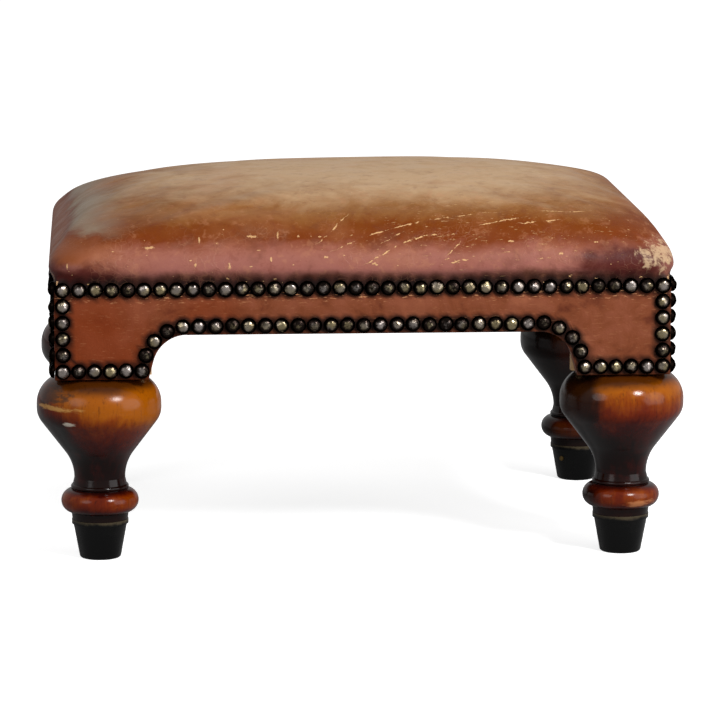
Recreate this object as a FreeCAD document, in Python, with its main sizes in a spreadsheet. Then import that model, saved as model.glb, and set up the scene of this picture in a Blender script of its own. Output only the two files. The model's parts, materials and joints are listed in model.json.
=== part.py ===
import FreeCAD, Part
import Sketcher
import math
import os

Vector = FreeCAD.Vector

# Footstool on four turned legs, in millimetres. +Z is up, the front faces -Y, and the
# origin is on the floor under the middle of the stool.

SIZES = {
    # Rail frame
    "frame_length": 415.0,
    "frame_depth": 327.0,
    "rail_thickness": 20.0,
    "rail_top": 195.0,
    "rail_corner_radius": 2.0,
    "lug_width": 60.5,
    "arch_rise": 30.3,
    "arch_lean": 15.0,
    "arch_radius": 25.0,
    # Leather
    "leather": 1.5,
    "wrap_depth": 16.0,
    "nail_row": 189.0,
    # Corner blocks and what holds them
    "block_width": 44.0,
    "block_blunt": 8.0,
    "block_height": 50.0,
    "dowel_radius": 4.0,
    "dowel_length": 36.0,
    "dowel_depth": 15.0,
    "dowel_low": 17.0,
    "dowel_high": 46.0,
    "block_screw_radius": 2.0,
    "block_screw_head_radius": 3.8,
    "block_screw_head": 2.5,
    "block_screw_bite": 12.0,
    "block_screw_wood": 10.0,
    "block_screw_spread": 30.0,
    "block_screw_low": 24.0,
    "block_screw_high": 36.0,
    # Turned legs
    "leg_height": 127.5,
    "leg_inset": 28.0,
    "seat_radius": 25.8,
    "bulb_radius": 42.6,
    "bulb_drop": 20.0,
    "bulb_band": 3.0,
    "bulb_lower_arc": 15.4,
    "taper_angle": 37.0,
    "neck_arc": 30.0,
    "neck_radius": 17.4,
    "neck_height": 56.0,
    "ring_radius": 19.8,
    "ring_root": 18.5,
    "ring_width": 3.2,
    "ring_height": 49.8,
    "bead_radius": 26.5,
    "bead_root": 19.6,
    "bead_width": 16.0,
    "bead_height": 40.0,
    "ankle_radius": 19.0,
    # Foot cups
    "cup_height": 27.0,
    "cup_foot_radius": 14.3,
    "cup_top_radius": 18.4,
    "cup_rim_radius": 19.4,
    "cup_rim_width": 3.0,
    "cup_edge_radius": 2.0,
    "cup_wall": 1.0,
    "cup_floor": 1.5,
    "pin_radius": 0.9,
    "pin_head_radius": 1.8,
    "pin_head": 0.7,
    "pin_length": 8.0,
    "pin_height": 17.0,
    # Leg bolts and the inserts that take them
    "bolt_radius": 4.0,
    "bolt_in_leg": 38.0,
    "bolt_in_block": 30.0,
    "insert_radius": 6.0,
    "insert_length": 15.0,
    # Seat
    "edge_height": 6.0,
    "edge_bulge": 4.0,
    "shoulder_inset": 38.7,
    "shoulder_rise": 36.0,
    "crown_rise": 15.0,
    "edge_corner_share": 0.12,
    "shoulder_corner_share": 0.75,
    "crown_corner_gain": 0.1,
    "wadding_thickness": 3.0,
    "layer_clearance": 0.3,
    "web_width": 50.0,
    "web_thickness": 1.2,
    "web_margin": 3.0,
    "long_web_pitch": 82.0,
    "cross_web_pitch": 72.0,
    "hessian_thickness": 0.8,
    "hessian_margin": 5.0,
    # Cloth under the frame
    "cloth_thickness": 0.8,
    "cloth_margin": 4.0,
    "cloth_clearance": 0.5,
    # Nails and tacks
    "nail_pitch": 11.0,
    "nail_inset": 6.0,
    "nail_corner_inset": 5.5,
    "nail_head_radius": 5.4,
    "nail_head_height": 3.7,
    "nail_shank_radius": 0.9,
    "nail_shank_length": 10.0,
    "snipped_shank_length": 4.0,
    "web_tack_head_radius": 2.8,
    "web_tack_head": 0.8,
    "web_tack_radius": 0.8,
    "web_tack_length": 9.0,
    "web_tack_pitch": 18.0,
    "cloth_tack_head_radius": 2.4,
    "cloth_tack_head": 0.6,
    "cloth_tack_radius": 0.6,
    "cloth_tack_length": 8.0,
    "cloth_tack_line": 12.0,
    "cloth_tack_pitch": 32.0,
}

LONG_WEBS = 3
CROSS_WEBS = 5
SHOULDER_ANGLES = (0, 25, 50, 70, 90)
CROWN_SHARES = (0.12, 0.27, 0.44, 0.62, 0.8)
SIDES = (-1, 1)

doc = FreeCAD.newDocument("footstool")
sheet = doc.addObject("Spreadsheet::Sheet", "sizes")
for row, (alias, number) in enumerate(SIZES.items(), start=1):
    sheet.set(f"A{row}", alias.replace("_", " "))
    sheet.set(f"B{row}", str(number))
    sheet.setAlias(f"B{row}", alias)
doc.recompute()


class Size:
    """A size with its number now and the spreadsheet expression that keeps it up to date."""

    def __init__(self, number, text):
        self.number = float(number)
        self.text = text

    def __add__(self, other):
        other = as_size(other)
        return Size(self.number + other.number, f"({self.text} + {other.text})")

    def __sub__(self, other):
        other = as_size(other)
        return Size(self.number - other.number, f"({self.text} - {other.text})")

    def __mul__(self, other):
        other = as_size(other)
        return Size(self.number * other.number, f"({self.text} * {other.text})")

    def __truediv__(self, other):
        other = as_size(other)
        return Size(self.number / other.number, f"({self.text} / {other.text})")

    def __neg__(self):
        return self * -1

    def __radd__(self, other):
        return as_size(other) + self

    def __rsub__(self, other):
        return as_size(other) - self

    def __rmul__(self, other):
        return as_size(other) * self


def as_size(value):
    if isinstance(value, Size):
        return value
    return Size(value, f"({value})")


def cosine(angle):
    angle = as_size(angle)
    return Size(math.cos(math.radians(angle.number)), f"cos({angle.text})")


def sine(angle):
    angle = as_size(angle)
    return Size(math.sin(math.radians(angle.number)), f"sin({angle.text})")


def tangent(angle):
    return sine(angle) / cosine(angle)


class Sheet:
    """Every cell of the spreadsheet as a Size under its own name."""

    def __init__(self):
        for name in SIZES:
            setattr(self, name, Size(sheet.get(name), f"sizes.{name}"))


s = Sheet()

# Heights and places that several pieces share
lug_bottom = s.leg_height + s.leather
arch_top = lug_bottom + s.arch_rise
arch_edge = arch_top - s.leather
half_length = s.frame_length / 2
half_depth = s.frame_depth / 2
inner_length = half_length - s.rail_thickness
inner_depth = half_depth - s.rail_thickness
leg_x = half_length - s.leg_inset
leg_y = half_depth - s.leg_inset
web_top = s.rail_top + s.web_thickness * 2
hessian_top = web_top + s.hessian_thickness
edge_z = s.rail_top + s.edge_height
CORNERS = {
    "front_left": (-1, -1),
    "front_right": (1, -1),
    "back_left": (-1, 1),
    "back_right": (1, 1),
}


def bind(thing, prop, value):
    """Ties one property of an object to its spreadsheet expression."""
    thing.setExpression(prop, as_size(value).text)


def new_body(name):
    body = doc.addObject("PartDesign::Body", name)
    body.Label = name
    return body


def new_sketch(body, name, role, offset):
    """A sketch on one of the body's own planes, moved along the plane's normal."""
    plane = [item for item in body.Origin.OriginFeatures if item.Role == role][0]
    sketch = body.newObject("Sketcher::SketchObject", f"{body.Name}_{name}")
    sketch.AttachmentSupport = [(plane, "")]
    sketch.MapMode = "FlatFace"
    sketch.AttachmentOffset = FreeCAD.Placement(Vector(0, 0, as_size(offset).number), FreeCAD.Rotation())
    bind(sketch, "AttachmentOffset.Base.z", offset)
    return sketch


def driven(sketch, constraint, value):
    index = sketch.addConstraint(constraint)
    bind(sketch, f"Constraints[{index}]", value)


def draw(sketch, path):
    """Draws a closed outline of straight runs and arcs.

    Each step of the path is (x, y) for a straight run to that point, or
    (x, y, centre_x, centre_y, radius, turn) for an arc, with turn 1 anticlockwise and -1
    clockwise. The last step leads back to the first one's point.
    """
    points = [(as_size(step[0]), as_size(step[1])) for step in path]
    starts = []
    for index, step in enumerate(path):
        before = points[index - 1]
        after = points[index]
        start = Vector(before[0].number, before[1].number, 0)
        end = Vector(after[0].number, after[1].number, 0)
        if len(step) == 2:
            sketch.addGeometry(Part.LineSegment(start, end))
            starts.append(1)
            continue
        centre = Vector(as_size(step[2]).number, as_size(step[3]).number, 0)
        turn = step[5]
        first, last = (start, end) if turn == 1 else (end, start)
        circle = Part.Circle(centre, Vector(0, 0, 1), as_size(step[4]).number)
        first_angle = math.atan2(first.y - centre.y, first.x - centre.x)
        last_angle = math.atan2(last.y - centre.y, last.x - centre.x)
        sketch.addGeometry(Part.ArcOfCircle(circle, first_angle, last_angle))
        starts.append(1 if turn == 1 else 2)
    for index, step in enumerate(path):
        following = (index + 1) % len(path)
        end = 3 - starts[index]
        sketch.addConstraint(Sketcher.Constraint("Coincident", index, end, following, starts[following]))
    for index, step in enumerate(path):
        x, y = points[index - 1]
        driven(sketch, Sketcher.Constraint("DistanceX", -1, 1, index, starts[index], x.number), x)
        driven(sketch, Sketcher.Constraint("DistanceY", -1, 1, index, starts[index], y.number), y)
        if len(step) > 2:
            radius = as_size(step[4])
            driven(sketch, Sketcher.Constraint("Radius", index, radius.number), radius)


def draw_circle(sketch, x, y, radius):
    circle = Part.Circle(Vector(as_size(x).number, as_size(y).number, 0), Vector(0, 0, 1), radius.number)
    index = sketch.addGeometry(circle)
    driven(sketch, Sketcher.Constraint("Radius", index, radius.number), radius)
    driven(sketch, Sketcher.Constraint("DistanceX", -1, 1, index, 3, as_size(x).number), x)
    driven(sketch, Sketcher.Constraint("DistanceY", -1, 1, index, 3, as_size(y).number), y)


def pad(body, sketch, length, reverse=False):
    feature = body.newObject("PartDesign::Pad", f"{sketch.Name}_pad")
    feature.Profile = sketch
    feature.Reversed = reverse
    bind(feature, "Length", length)
    return feature


def pocket(body, sketch, length, reverse=False):
    feature = body.newObject("PartDesign::Pocket", f"{sketch.Name}_pocket")
    feature.Profile = sketch
    feature.Reversed = reverse
    bind(feature, "Length", length)
    return feature


def turned(name, path):
    """A body turned about its own Z axis from a profile of radius and height."""
    body = new_body(name)
    sketch = new_sketch(body, "profile", "XZ_Plane", 0)
    draw(sketch, path)
    feature = body.newObject("PartDesign::Revolution", f"{name}_turning")
    feature.Profile = sketch
    feature.ReferenceAxis = (sketch, ["V_Axis"])
    feature.Angle = 360.0
    return body


def stand(thing, x, y, z=0):
    """Puts an object at a bound place."""
    bind(thing, "Placement.Base.x", x)
    bind(thing, "Placement.Base.y", y)
    bind(thing, "Placement.Base.z", z)


def cylinder(start, direction, radius, length):
    """One hole's or pin's cylinder from a start point along a direction."""
    return Part.makeCylinder(radius, length, start, direction)


def copies(name, master, places):
    """One node of many like pieces: the master's shape at every place."""
    doc.recompute()
    solids = []
    for place in places:
        solid = master.Shape.copy()
        solid.Placement = place
        solids.append(solid)
    group = doc.addObject("Part::Feature", name)
    group.Shape = Part.makeCompound(solids)
    group.Label = name
    return group


def drilled(name, blank, holes):
    """The blank with every hole of the list cut out of it."""
    tools = doc.addObject("Part::Feature", f"{name}_holes")
    tools.Shape = Part.makeCompound(holes)
    cut = doc.addObject("Part::Cut", name)
    cut.Base = blank
    cut.Tool = tools
    cut.Label = name
    return cut


def spread(first, last, pitch):
    """Evenly spaced numbers from first to last, as near the pitch as whole spaces allow."""
    spaces = max(1, round(abs(last - first) / pitch))
    return [first + (last - first) * index / spaces for index in range(spaces + 1)]


def facing(direction, start):
    """A placement that turns +Z to a direction and moves the origin to a start point."""
    return FreeCAD.Placement(start, FreeCAD.Rotation(Vector(0, 0, 1), direction))


# Outline of an arched rail. Growth 0 is the wood, and growth by the leather is what covers it.

def arch_points(half, growth):
    """Foot of the lug, top of its lean, and end of its arc, on the right of the middle."""
    lean = s.arch_lean
    radius = s.arch_radius - growth
    bottom = lug_bottom - growth
    top = arch_top - growth
    side_step = cosine(lean) - (1 - sine(lean)) * tangent(lean)
    foot_x = half - s.lug_width - as_size(growth) * side_step
    bend_z = top - radius * (1 - sine(lean))
    bend_x = foot_x - (bend_z - bottom) * tangent(lean)
    crown_x = bend_x - radius * cosine(lean)
    return {"foot": (foot_x, bottom), "bend": (bend_x, bend_z), "crown": (crown_x, top), "radius": radius}


def arch_path(half, growth):
    """Underside of a rail from the right lug's foot to the left one's."""
    arch = arch_points(half, growth)
    foot_x, bottom = arch["foot"]
    bend_x, bend_z = arch["bend"]
    crown_x, top = arch["crown"]
    radius = arch["radius"]
    centre_z = top - radius
    return [
        (foot_x, bottom),
        (bend_x, bend_z),
        (crown_x, top, crown_x, centre_z, radius, 1),
        (-crown_x, top),
        (-bend_x, bend_z, -crown_x, centre_z, radius, 1),
        (-foot_x, bottom),
    ]


def face_outline(edge_half, arch_half, growth, top):
    """A rail's face: straight ends at edge_half, with the arch of a rail of arch_half."""
    bottom = lug_bottom - growth
    ends = [(edge_half, top), (edge_half, bottom)]
    return ends + arch_path(arch_half, growth) + [(-edge_half, bottom), (-edge_half, top)]


def wrap_outline(edge_half, arch_half):
    """The strip of leather under a rail, between the wood and the leather's own outline."""
    outer = arch_path(arch_half, s.leather)
    inner = arch_path(arch_half, 0)
    back = [(step[0], step[1]) for step in inner]
    foot_z = lug_bottom
    strip = [(edge_half, foot_z), (edge_half, foot_z - s.leather)] + outer
    strip += [(-edge_half, foot_z - s.leather), (-edge_half, foot_z)]
    wood = [
        back[5],
        back[4],
        (*back[3], *arc_of(inner[4]), -1),
        back[2],
        (*back[1], *arc_of(inner[2]), -1),
        back[0],
    ]
    return strip + wood


def arc_of(step):
    """Centre and radius of an arc step."""
    return step[2], step[3], step[4]


# Rails. Front and back run the full length, and the side rails stand between them.
# Each has its sketch plane, half its length, half the length of its arched face, and the
# place of its sketch along the plane's normal.

RAILS = {
    "front": ("XZ_Plane", half_length, half_length, inner_depth),
    "back": ("XZ_Plane", half_length, half_length, -half_depth),
    "left": ("YZ_Plane", inner_depth, half_depth, -half_length),
    "right": ("YZ_Plane", inner_depth, half_depth, inner_length),
}


def rail_blank(side):
    role, end_half, arch_half, offset = RAILS[side]
    body = new_body(f"{side}_rail_blank")
    sketch = new_sketch(body, "face", role, offset)
    draw(sketch, face_outline(end_half, arch_half, 0, s.rail_top))
    pad(body, sketch, s.rail_thickness)
    return body


# Leather borders: the face from the nail row down, and the strip turned under the rail.

def border_blank(side):
    role = RAILS[side][0]
    lengthwise = side in ("front", "back")
    arch_half = half_length if lengthwise else half_depth
    depth = half_depth if lengthwise else half_length
    sign = {"front": 1, "back": -1, "left": -1, "right": 1}[side]
    face_half = half_length + s.leather if lengthwise else half_depth
    wrap_half = half_length if lengthwise else half_depth - s.wrap_depth
    body = new_body(f"{side}_border_blank")
    face = new_sketch(body, "face", role, depth * sign)
    draw(face, face_outline(face_half, arch_half, s.leather, s.nail_row))
    pad(body, face, s.leather, reverse=sign < 0)
    wrap = new_sketch(body, "wrap", role, depth * sign)
    draw(wrap, wrap_outline(wrap_half, arch_half))
    pad(body, wrap, s.wrap_depth, reverse=sign > 0)
    return body


# Where the nails stand on a face, as places along the face and heights.

def along_arch(half, count_pitch):
    """Nails between the feet of two lugs, evenly spaced along the arch."""
    arch = arch_points(half, s.leather - s.nail_inset)
    foot = Vector(arch["foot"][0].number, arch["foot"][1].number, 0)
    bend = Vector(arch["bend"][0].number, arch["bend"][1].number, 0)
    crown_x = arch["crown"][0].number
    top = arch["crown"][1].number
    radius = arch["radius"].number
    turn = math.radians(90.0 - s.arch_lean.number)
    rise = foot.distanceToPoint(bend)
    quarter = radius * turn
    half_way = rise + quarter + crown_x
    places = []
    for travel in spread(-half_way, half_way, count_pitch)[1:-1]:
        sign = 1 if travel > 0 else -1
        left = half_way - abs(travel)
        if left < rise:
            point = foot + (bend - foot) * (left / rise)
        elif left < rise + quarter:
            angle = math.radians(s.arch_lean.number) + (left - rise) / radius
            point = Vector(crown_x + radius * math.cos(angle), top - radius + radius * math.sin(angle), 0)
        else:
            point = Vector(crown_x - (left - rise - quarter), top, 0)
        places.append((sign * point.x, point.y))
    return places


def nail_places(half):
    """All nails of one face, given the wood's half length along that face."""
    pitch = s.nail_pitch.number
    edge = half.number + s.leather.number - s.nail_corner_inset.number
    arch = arch_points(half, s.leather - s.nail_inset)
    foot_x = arch["foot"][0].number
    low = arch["foot"][1].number
    high = s.nail_row.number
    places = [(x, high) for x in spread(-edge, edge, pitch)]
    for sign in SIDES:
        places += [(sign * edge, z) for z in spread(high, low, pitch)[1:-1]]
        places += [(sign * x, low) for x in spread(edge, foot_x, pitch)]
    return places + along_arch(half, pitch)


FACES = {
    "front": (half_length, half_depth, Vector(0, -1, 0)),
    "back": (half_length, half_depth, Vector(0, 1, 0)),
    "left": (half_depth, half_length, Vector(-1, 0, 0)),
    "right": (half_depth, half_length, Vector(1, 0, 0)),
}


def nails_of(side):
    """Start point on the leather and length of shank of every nail on one face."""
    half, depth, outward = FACES[side]
    face = depth.number + s.leather.number
    full = s.nail_shank_length.number
    nails = []
    for along, height in nail_places(half):
        if side in ("front", "back"):
            start = Vector(along, 0, height) + outward * face
            length = full
        else:
            start = Vector(0, along, height) + outward * face
            near_corner = half.number + s.leather.number - abs(along) < full
            length = s.snipped_shank_length.number if near_corner else full
        nails.append((start, length))
    return nails


def nail_holes(side):
    outward = FACES[side][2]
    radius = s.nail_shank_radius.number
    lift = s.leather.number
    into = outward * -1
    return [cylinder(start - into * lift, into, radius, length + lift) for start, length in nails_of(side)]


def nail_master(name, shank):
    """A domed nail on the origin, with its head above and its shank below."""
    head = s.nail_head_radius
    height = s.nail_head_height
    sphere = (head * head + height * height) / (height * 2)
    point = s.nail_shank_radius * 2
    return turned(name, [
        (0, -shank),
        (s.nail_shank_radius, point - shank),
        (s.nail_shank_radius, 0),
        (head, 0),
        (0, height, 0, height - sphere, sphere, 1),
    ])


def tack_master(name, radius, length, head_radius, head):
    """A flat-headed tack or screw: head above the origin and shank below it."""
    return turned(name, [
        (0, -length),
        (radius, radius * 2 - length),
        (radius, 0),
        (head_radius, 0),
        (head_radius, head),
        (0, head),
    ])


# Places of the plain fasteners, each as a start point and a direction to drive it in.

def dowel_places():
    places = []
    middle = half_length.number - s.rail_thickness.number / 2
    face = inner_depth.number
    for x_sign, y_sign in CORNERS.values():
        for rise in (s.dowel_low.number, s.dowel_high.number):
            start = Vector(x_sign * middle, y_sign * (face + s.dowel_depth.number), lug_bottom.number + rise)
            places.append((start, Vector(0, -y_sign, 0)))
    return places


def block_screw_places():
    places = []
    seat = s.block_screw_wood.number
    spread_out = s.block_screw_spread.number
    low = s.leg_height.number + s.block_screw_low.number
    high = s.leg_height.number + s.block_screw_high.number
    x_face = inner_length.number
    y_face = inner_depth.number
    for x_sign, y_sign in CORNERS.values():
        start = Vector(x_sign * (x_face - spread_out), y_sign * (y_face - seat), high)
        places.append((start, Vector(0, y_sign, 0)))
        start = Vector(x_sign * (x_face - seat), y_sign * (y_face - spread_out), low)
        places.append((start, Vector(x_sign, 0, 0)))
    return places


def web_lines(count, pitch):
    return [(index - (count - 1) / 2) * pitch.number for index in range(count)]


def web_tack_places():
    places = []
    height = s.rail_top.number + s.web_thickness.number
    reach = s.web_tack_pitch.number
    x_line = half_length.number - s.rail_thickness.number / 2
    y_line = half_depth.number - s.rail_thickness.number / 2
    for sign in SIDES:
        for step in (-reach, 0, reach):
            for line in web_lines(LONG_WEBS, s.long_web_pitch):
                places.append((Vector(sign * x_line, line + step, height), Vector(0, 0, -1)))
            for line in web_lines(CROSS_WEBS, s.cross_web_pitch):
                places.append((Vector(line + step, sign * y_line, height), Vector(0, 0, -1)))
    return places


def cloth_tack_places():
    places = []
    height = arch_edge.number - s.cloth_thickness.number
    line = s.cloth_tack_line.number
    pitch = s.cloth_tack_pitch.number
    reach_x = arch_points(half_length, s.leather)["crown"][0].number - line
    reach_y = arch_points(half_depth, s.leather)["crown"][0].number - line
    for sign in SIDES:
        for x in spread(-reach_x, reach_x, pitch):
            places.append((Vector(x, sign * (half_depth.number - line), height), Vector(0, 0, 1)))
        for y in spread(-reach_y, reach_y, pitch):
            places.append((Vector(sign * (half_length.number - line), y, height), Vector(0, 0, 1)))
    return places


def holes_for(places, radius, length, keep):
    """Cylinders for the fasteners whose start point the test keeps."""
    return [cylinder(start, into, radius, length) for start, into in places if keep(start)]


def anywhere(point):
    return True


def on_side(side):
    """A test for points that belong to one side of the frame."""
    if side in ("front", "back"):
        sign = -1 if side == "front" else 1
        return lambda point: sign * point.y > inner_depth.number - s.block_width.number / 2
    sign = -1 if side == "left" else 1
    return lambda point: sign * point.x > inner_length.number - s.block_width.number / 2


def rail_holes(side):
    keep = on_side(side)
    shared = holes_for(dowel_places(), s.dowel_radius.number, s.dowel_length.number, anywhere)
    shared += holes_for(block_screw_places(), s.block_screw_radius.number,
                        s.block_screw_wood.number + s.block_screw_bite.number, keep)
    shared += holes_for(web_tack_places(), s.web_tack_radius.number, s.web_tack_length.number, keep)
    shared += holes_for(cloth_tack_places(), s.cloth_tack_radius.number, s.cloth_tack_length.number, keep)
    return shared + nail_holes(side)


for side in RAILS:
    drilled(f"{side}_rail", rail_blank(side), rail_holes(side))
    cloth_holes = holes_for(cloth_tack_places(), s.cloth_tack_radius.number, s.cloth_tack_length.number,
                            on_side(side))
    drilled(f"{side}_border", border_blank(side), nail_holes(side) + cloth_holes)


# Corner blocks, glued and screwed into the corners of the frame, flush with the leather below.

def corner_block(name, x_sign, y_sign):
    body = new_body(f"{name}_blank")
    sketch = new_sketch(body, "plan", "XY_Plane", s.leg_height)
    near = (inner_length * x_sign, inner_depth * y_sign)
    far_x = (inner_length - s.block_width) * x_sign
    far_y = (inner_depth - s.block_width) * y_sign
    blunt_x = (inner_length - s.block_blunt) * x_sign
    blunt_y = (inner_depth - s.block_blunt) * y_sign
    draw(sketch, [near, (far_x, near[1]), (far_x, blunt_y), (blunt_x, far_y), (near[0], far_y)])
    pad(body, sketch, s.block_height)
    seat = new_sketch(body, "insert", "XY_Plane", s.leg_height)
    draw_circle(seat, leg_x * x_sign, leg_y * y_sign, s.insert_radius)
    pocket(body, seat, s.insert_length, reverse=True)
    bore = new_sketch(body, "bolt", "XY_Plane", s.leg_height)
    draw_circle(bore, leg_x * x_sign, leg_y * y_sign, s.bolt_radius)
    pocket(body, bore, s.bolt_in_block, reverse=True)
    return body


def at_corner(x_sign, y_sign):
    """A test for points that belong to one corner of the frame."""
    return lambda point: point.x * x_sign > 0 and point.y * y_sign > 0


for corner, (x_sign, y_sign) in CORNERS.items():
    name = f"corner_block_{corner}"
    in_block = at_corner(x_sign, y_sign)
    holes = holes_for(block_screw_places(), s.block_screw_radius.number, s.block_screw_wood.number, in_block)
    for start, into in block_screw_places():
        if in_block(start):
            holes.append(cylinder(start, into * -1, s.block_screw_head_radius.number, s.block_width.number))
    drilled(name, corner_block(name, x_sign, y_sign), holes)


# Turned legs and their foot cups.

def shoulder_arc(rise, reach):
    """Radius of an arc that starts upright and bends in by reach over a rise."""
    return (rise * rise + reach * reach) / (reach * 2)


def cup_inner_radius(height):
    """Inside of the cup at a height, which is also the outside of the leg's spigot."""
    slope = (s.cup_top_radius - s.cup_foot_radius) / (s.cup_height - s.cup_rim_width)
    return s.cup_foot_radius - s.cup_wall + slope * height


def leg_blank(name):
    top_arc = shoulder_arc(s.bulb_drop, s.bulb_radius - s.seat_radius)
    widest = s.leg_height - s.bulb_drop
    band = widest - s.bulb_band
    low_x = s.bulb_radius - s.bulb_lower_arc
    level = cosine(s.taper_angle)
    upright = sine(s.taper_angle)
    low_end = (low_x + s.bulb_lower_arc * level, band - s.bulb_lower_arc * upright)
    neck_x = s.neck_radius + s.neck_arc
    neck_start = (neck_x - s.neck_arc * level, s.neck_height + s.neck_arc * upright)
    ring_half = s.ring_width / 2
    ring_arc = shoulder_arc(ring_half, s.ring_radius - s.ring_root)
    bead_half = s.bead_width / 2
    bead_arc = shoulder_arc(bead_half, s.bead_radius - s.bead_root)
    bead_top = s.bead_height + bead_half
    bead_low = s.bead_height - bead_half
    body = turned(name, [
        (0, s.cup_floor),
        (cup_inner_radius(s.cup_floor), s.cup_floor),
        (cup_inner_radius(s.cup_height), s.cup_height),
        (s.ankle_radius, s.cup_height),
        (s.bead_root, bead_low),
        (s.bead_root, bead_top, s.bead_radius - bead_arc, s.bead_height, bead_arc, 1),
        (s.ring_root, bead_top),
        (s.ring_root, s.ring_height - ring_half),
        (s.ring_root, s.ring_height + ring_half, s.ring_radius - ring_arc, s.ring_height, ring_arc, 1),
        (s.neck_radius, s.neck_height),
        (*neck_start, neck_x, s.neck_height, s.neck_arc, -1),
        low_end,
        (s.bulb_radius, band, low_x, band, s.bulb_lower_arc, 1),
        (s.bulb_radius, widest),
        (s.seat_radius, s.leg_height, s.bulb_radius - top_arc, widest, top_arc, 1),
        (0, s.leg_height),
    ])
    bore = new_sketch(body, "bolt_bore", "XY_Plane", s.leg_height)
    draw_circle(bore, 0, 0, s.bolt_radius)
    pocket(body, bore, s.bolt_in_leg)
    return body


def foot_cup_blank(name):
    bevel = s.cup_edge_radius
    rim_low = s.cup_height - s.cup_rim_width
    return turned(name, [
        (0, 0),
        (s.cup_foot_radius - bevel, 0),
        (s.cup_foot_radius, bevel, s.cup_foot_radius - bevel, bevel, bevel, 1),
        (s.cup_top_radius, rim_low),
        (s.cup_rim_radius, rim_low),
        (s.cup_rim_radius, s.cup_height),
        (cup_inner_radius(s.cup_height), s.cup_height),
        (cup_inner_radius(s.cup_floor), s.cup_floor),
        (0, s.cup_floor),
    ])


def pin_place(x_sign, y_sign):
    """The cup's pin, on the side that faces the middle of the stool, driven square to the taper."""
    rise = s.cup_height.number - s.cup_rim_width.number
    slope = (s.cup_top_radius.number - s.cup_foot_radius.number) / rise
    height = s.pin_height.number
    radius = s.cup_foot_radius.number + slope * height
    inward = Vector(-x_sign, -y_sign, 0).normalize()
    start = inward * radius + Vector(0, 0, height)
    return start, inward * -1


for corner, (x_sign, y_sign) in CORNERS.items():
    pin_start, pin_into = pin_place(x_sign, y_sign)
    clear = s.pin_head.number
    hole = cylinder(pin_start - pin_into * clear, pin_into, s.pin_radius.number, s.pin_length.number + clear)
    leg = drilled(f"leg_{corner}", leg_blank(f"leg_{corner}_blank"), [hole])
    stand(leg, leg_x * x_sign, leg_y * y_sign)
    cup = drilled(f"foot_cup_{corner}", foot_cup_blank(f"foot_cup_{corner}_blank"), [hole])
    stand(cup, leg_x * x_sign, leg_y * y_sign)


# Fasteners, each kind one node of like solids.

def at_legs(name, master):
    legs = [Vector(leg_x.number * x_sign, leg_y.number * y_sign, 0) for x_sign, y_sign in CORNERS.values()]
    return copies(name, master, [FreeCAD.Placement(leg, FreeCAD.Rotation()) for leg in legs])


def driven_in(name, master, places):
    """Tacks or screws at their places: the shank points the way it is driven."""
    return copies(name, master, [facing(into * -1, start) for start, into in places])


dowel = turned("dowel_master", [
    (0, -s.dowel_length),
    (s.dowel_radius, -s.dowel_length),
    (s.dowel_radius, 0),
    (0, 0),
])
driven_in("corner_dowels", dowel, dowel_places())

block_screw = tack_master("block_screw_master", s.block_screw_radius, s.block_screw_wood + s.block_screw_bite,
                          s.block_screw_head_radius, s.block_screw_head)
driven_in("block_screws", block_screw, block_screw_places())

bolt_low = s.leg_height - s.bolt_in_leg
leg_bolt = turned("leg_bolt_master", [
    (0, bolt_low),
    (s.bolt_radius, bolt_low + s.bolt_radius * 2),
    (s.bolt_radius, s.leg_height + s.bolt_in_block),
    (0, s.leg_height + s.bolt_in_block),
])
at_legs("leg_bolts", leg_bolt)

insert = turned("insert_master", [
    (s.bolt_radius, s.leg_height),
    (s.insert_radius, s.leg_height),
    (s.insert_radius, s.leg_height + s.insert_length),
    (s.bolt_radius, s.leg_height + s.insert_length),
])
at_legs("bolt_inserts", insert)

cup_pin = tack_master("cup_pin_master", s.pin_radius, s.pin_length, s.pin_head_radius, s.pin_head)
pin_places = []
for x_sign, y_sign in CORNERS.values():
    start, into = pin_place(x_sign, y_sign)
    pin_places.append((start + Vector(leg_x.number * x_sign, leg_y.number * y_sign, 0), into))
driven_in("cup_pins", cup_pin, pin_places)


# Webbing: flat strips that pass over and under each other, tacked to the tops of the rails.

def web_strip(reach, crossings, first_over, along_x, line):
    """One strip from rail to rail, lifted over every second crossing strip."""
    base = s.rail_top.number
    thick = s.web_thickness.number
    half_width = s.web_width.number / 2
    profile = [(-reach, 0)]
    for index, crossing in enumerate(crossings):
        level = (index + first_over) % 2
        profile.append((crossing - half_width, level))
        profile.append((crossing + half_width, level))
    profile.append((reach, 0))
    lower = [Vector(place, 0, base + level * thick) for place, level in profile]
    upper = [point + Vector(0, 0, thick) for point in reversed(lower)]
    outline = lower + upper + lower[:1]
    strip = Part.Face(Part.makePolygon(outline)).extrude(Vector(0, half_width * 2, 0))
    strip.translate(Vector(0, line - half_width, 0))
    if not along_x:
        strip.rotate(Vector(0, 0, 0), Vector(0, 0, 1), 90)
    return strip


def webbing(name, along_x):
    long_lines = web_lines(LONG_WEBS, s.long_web_pitch)
    cross_lines = web_lines(CROSS_WEBS, s.cross_web_pitch)
    lines, crossings = (long_lines, cross_lines) if along_x else (cross_lines, long_lines)
    half = half_length if along_x else half_depth
    reach = half.number - s.web_margin.number
    strips = []
    for index, line in enumerate(lines):
        first_over = index % 2 if along_x else (index + 1) % 2
        side = line if along_x else -line
        strips.append(web_strip(reach, crossings, first_over, along_x, side))
    tacks = holes_for(web_tack_places(), s.web_tack_radius.number, s.web_tack_length.number, anywhere)
    group = doc.addObject("Part::Feature", name)
    group.Shape = Part.makeCompound([strip.cut(tacks) for strip in strips])
    group.Label = name


webbing("webbing_long", True)
webbing("webbing_cross", False)
web_tack = tack_master("web_tack_master", s.web_tack_radius, s.web_tack_length,
                       s.web_tack_head_radius, s.web_tack_head)
driven_in("webbing_tacks", web_tack, web_tack_places())

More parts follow.
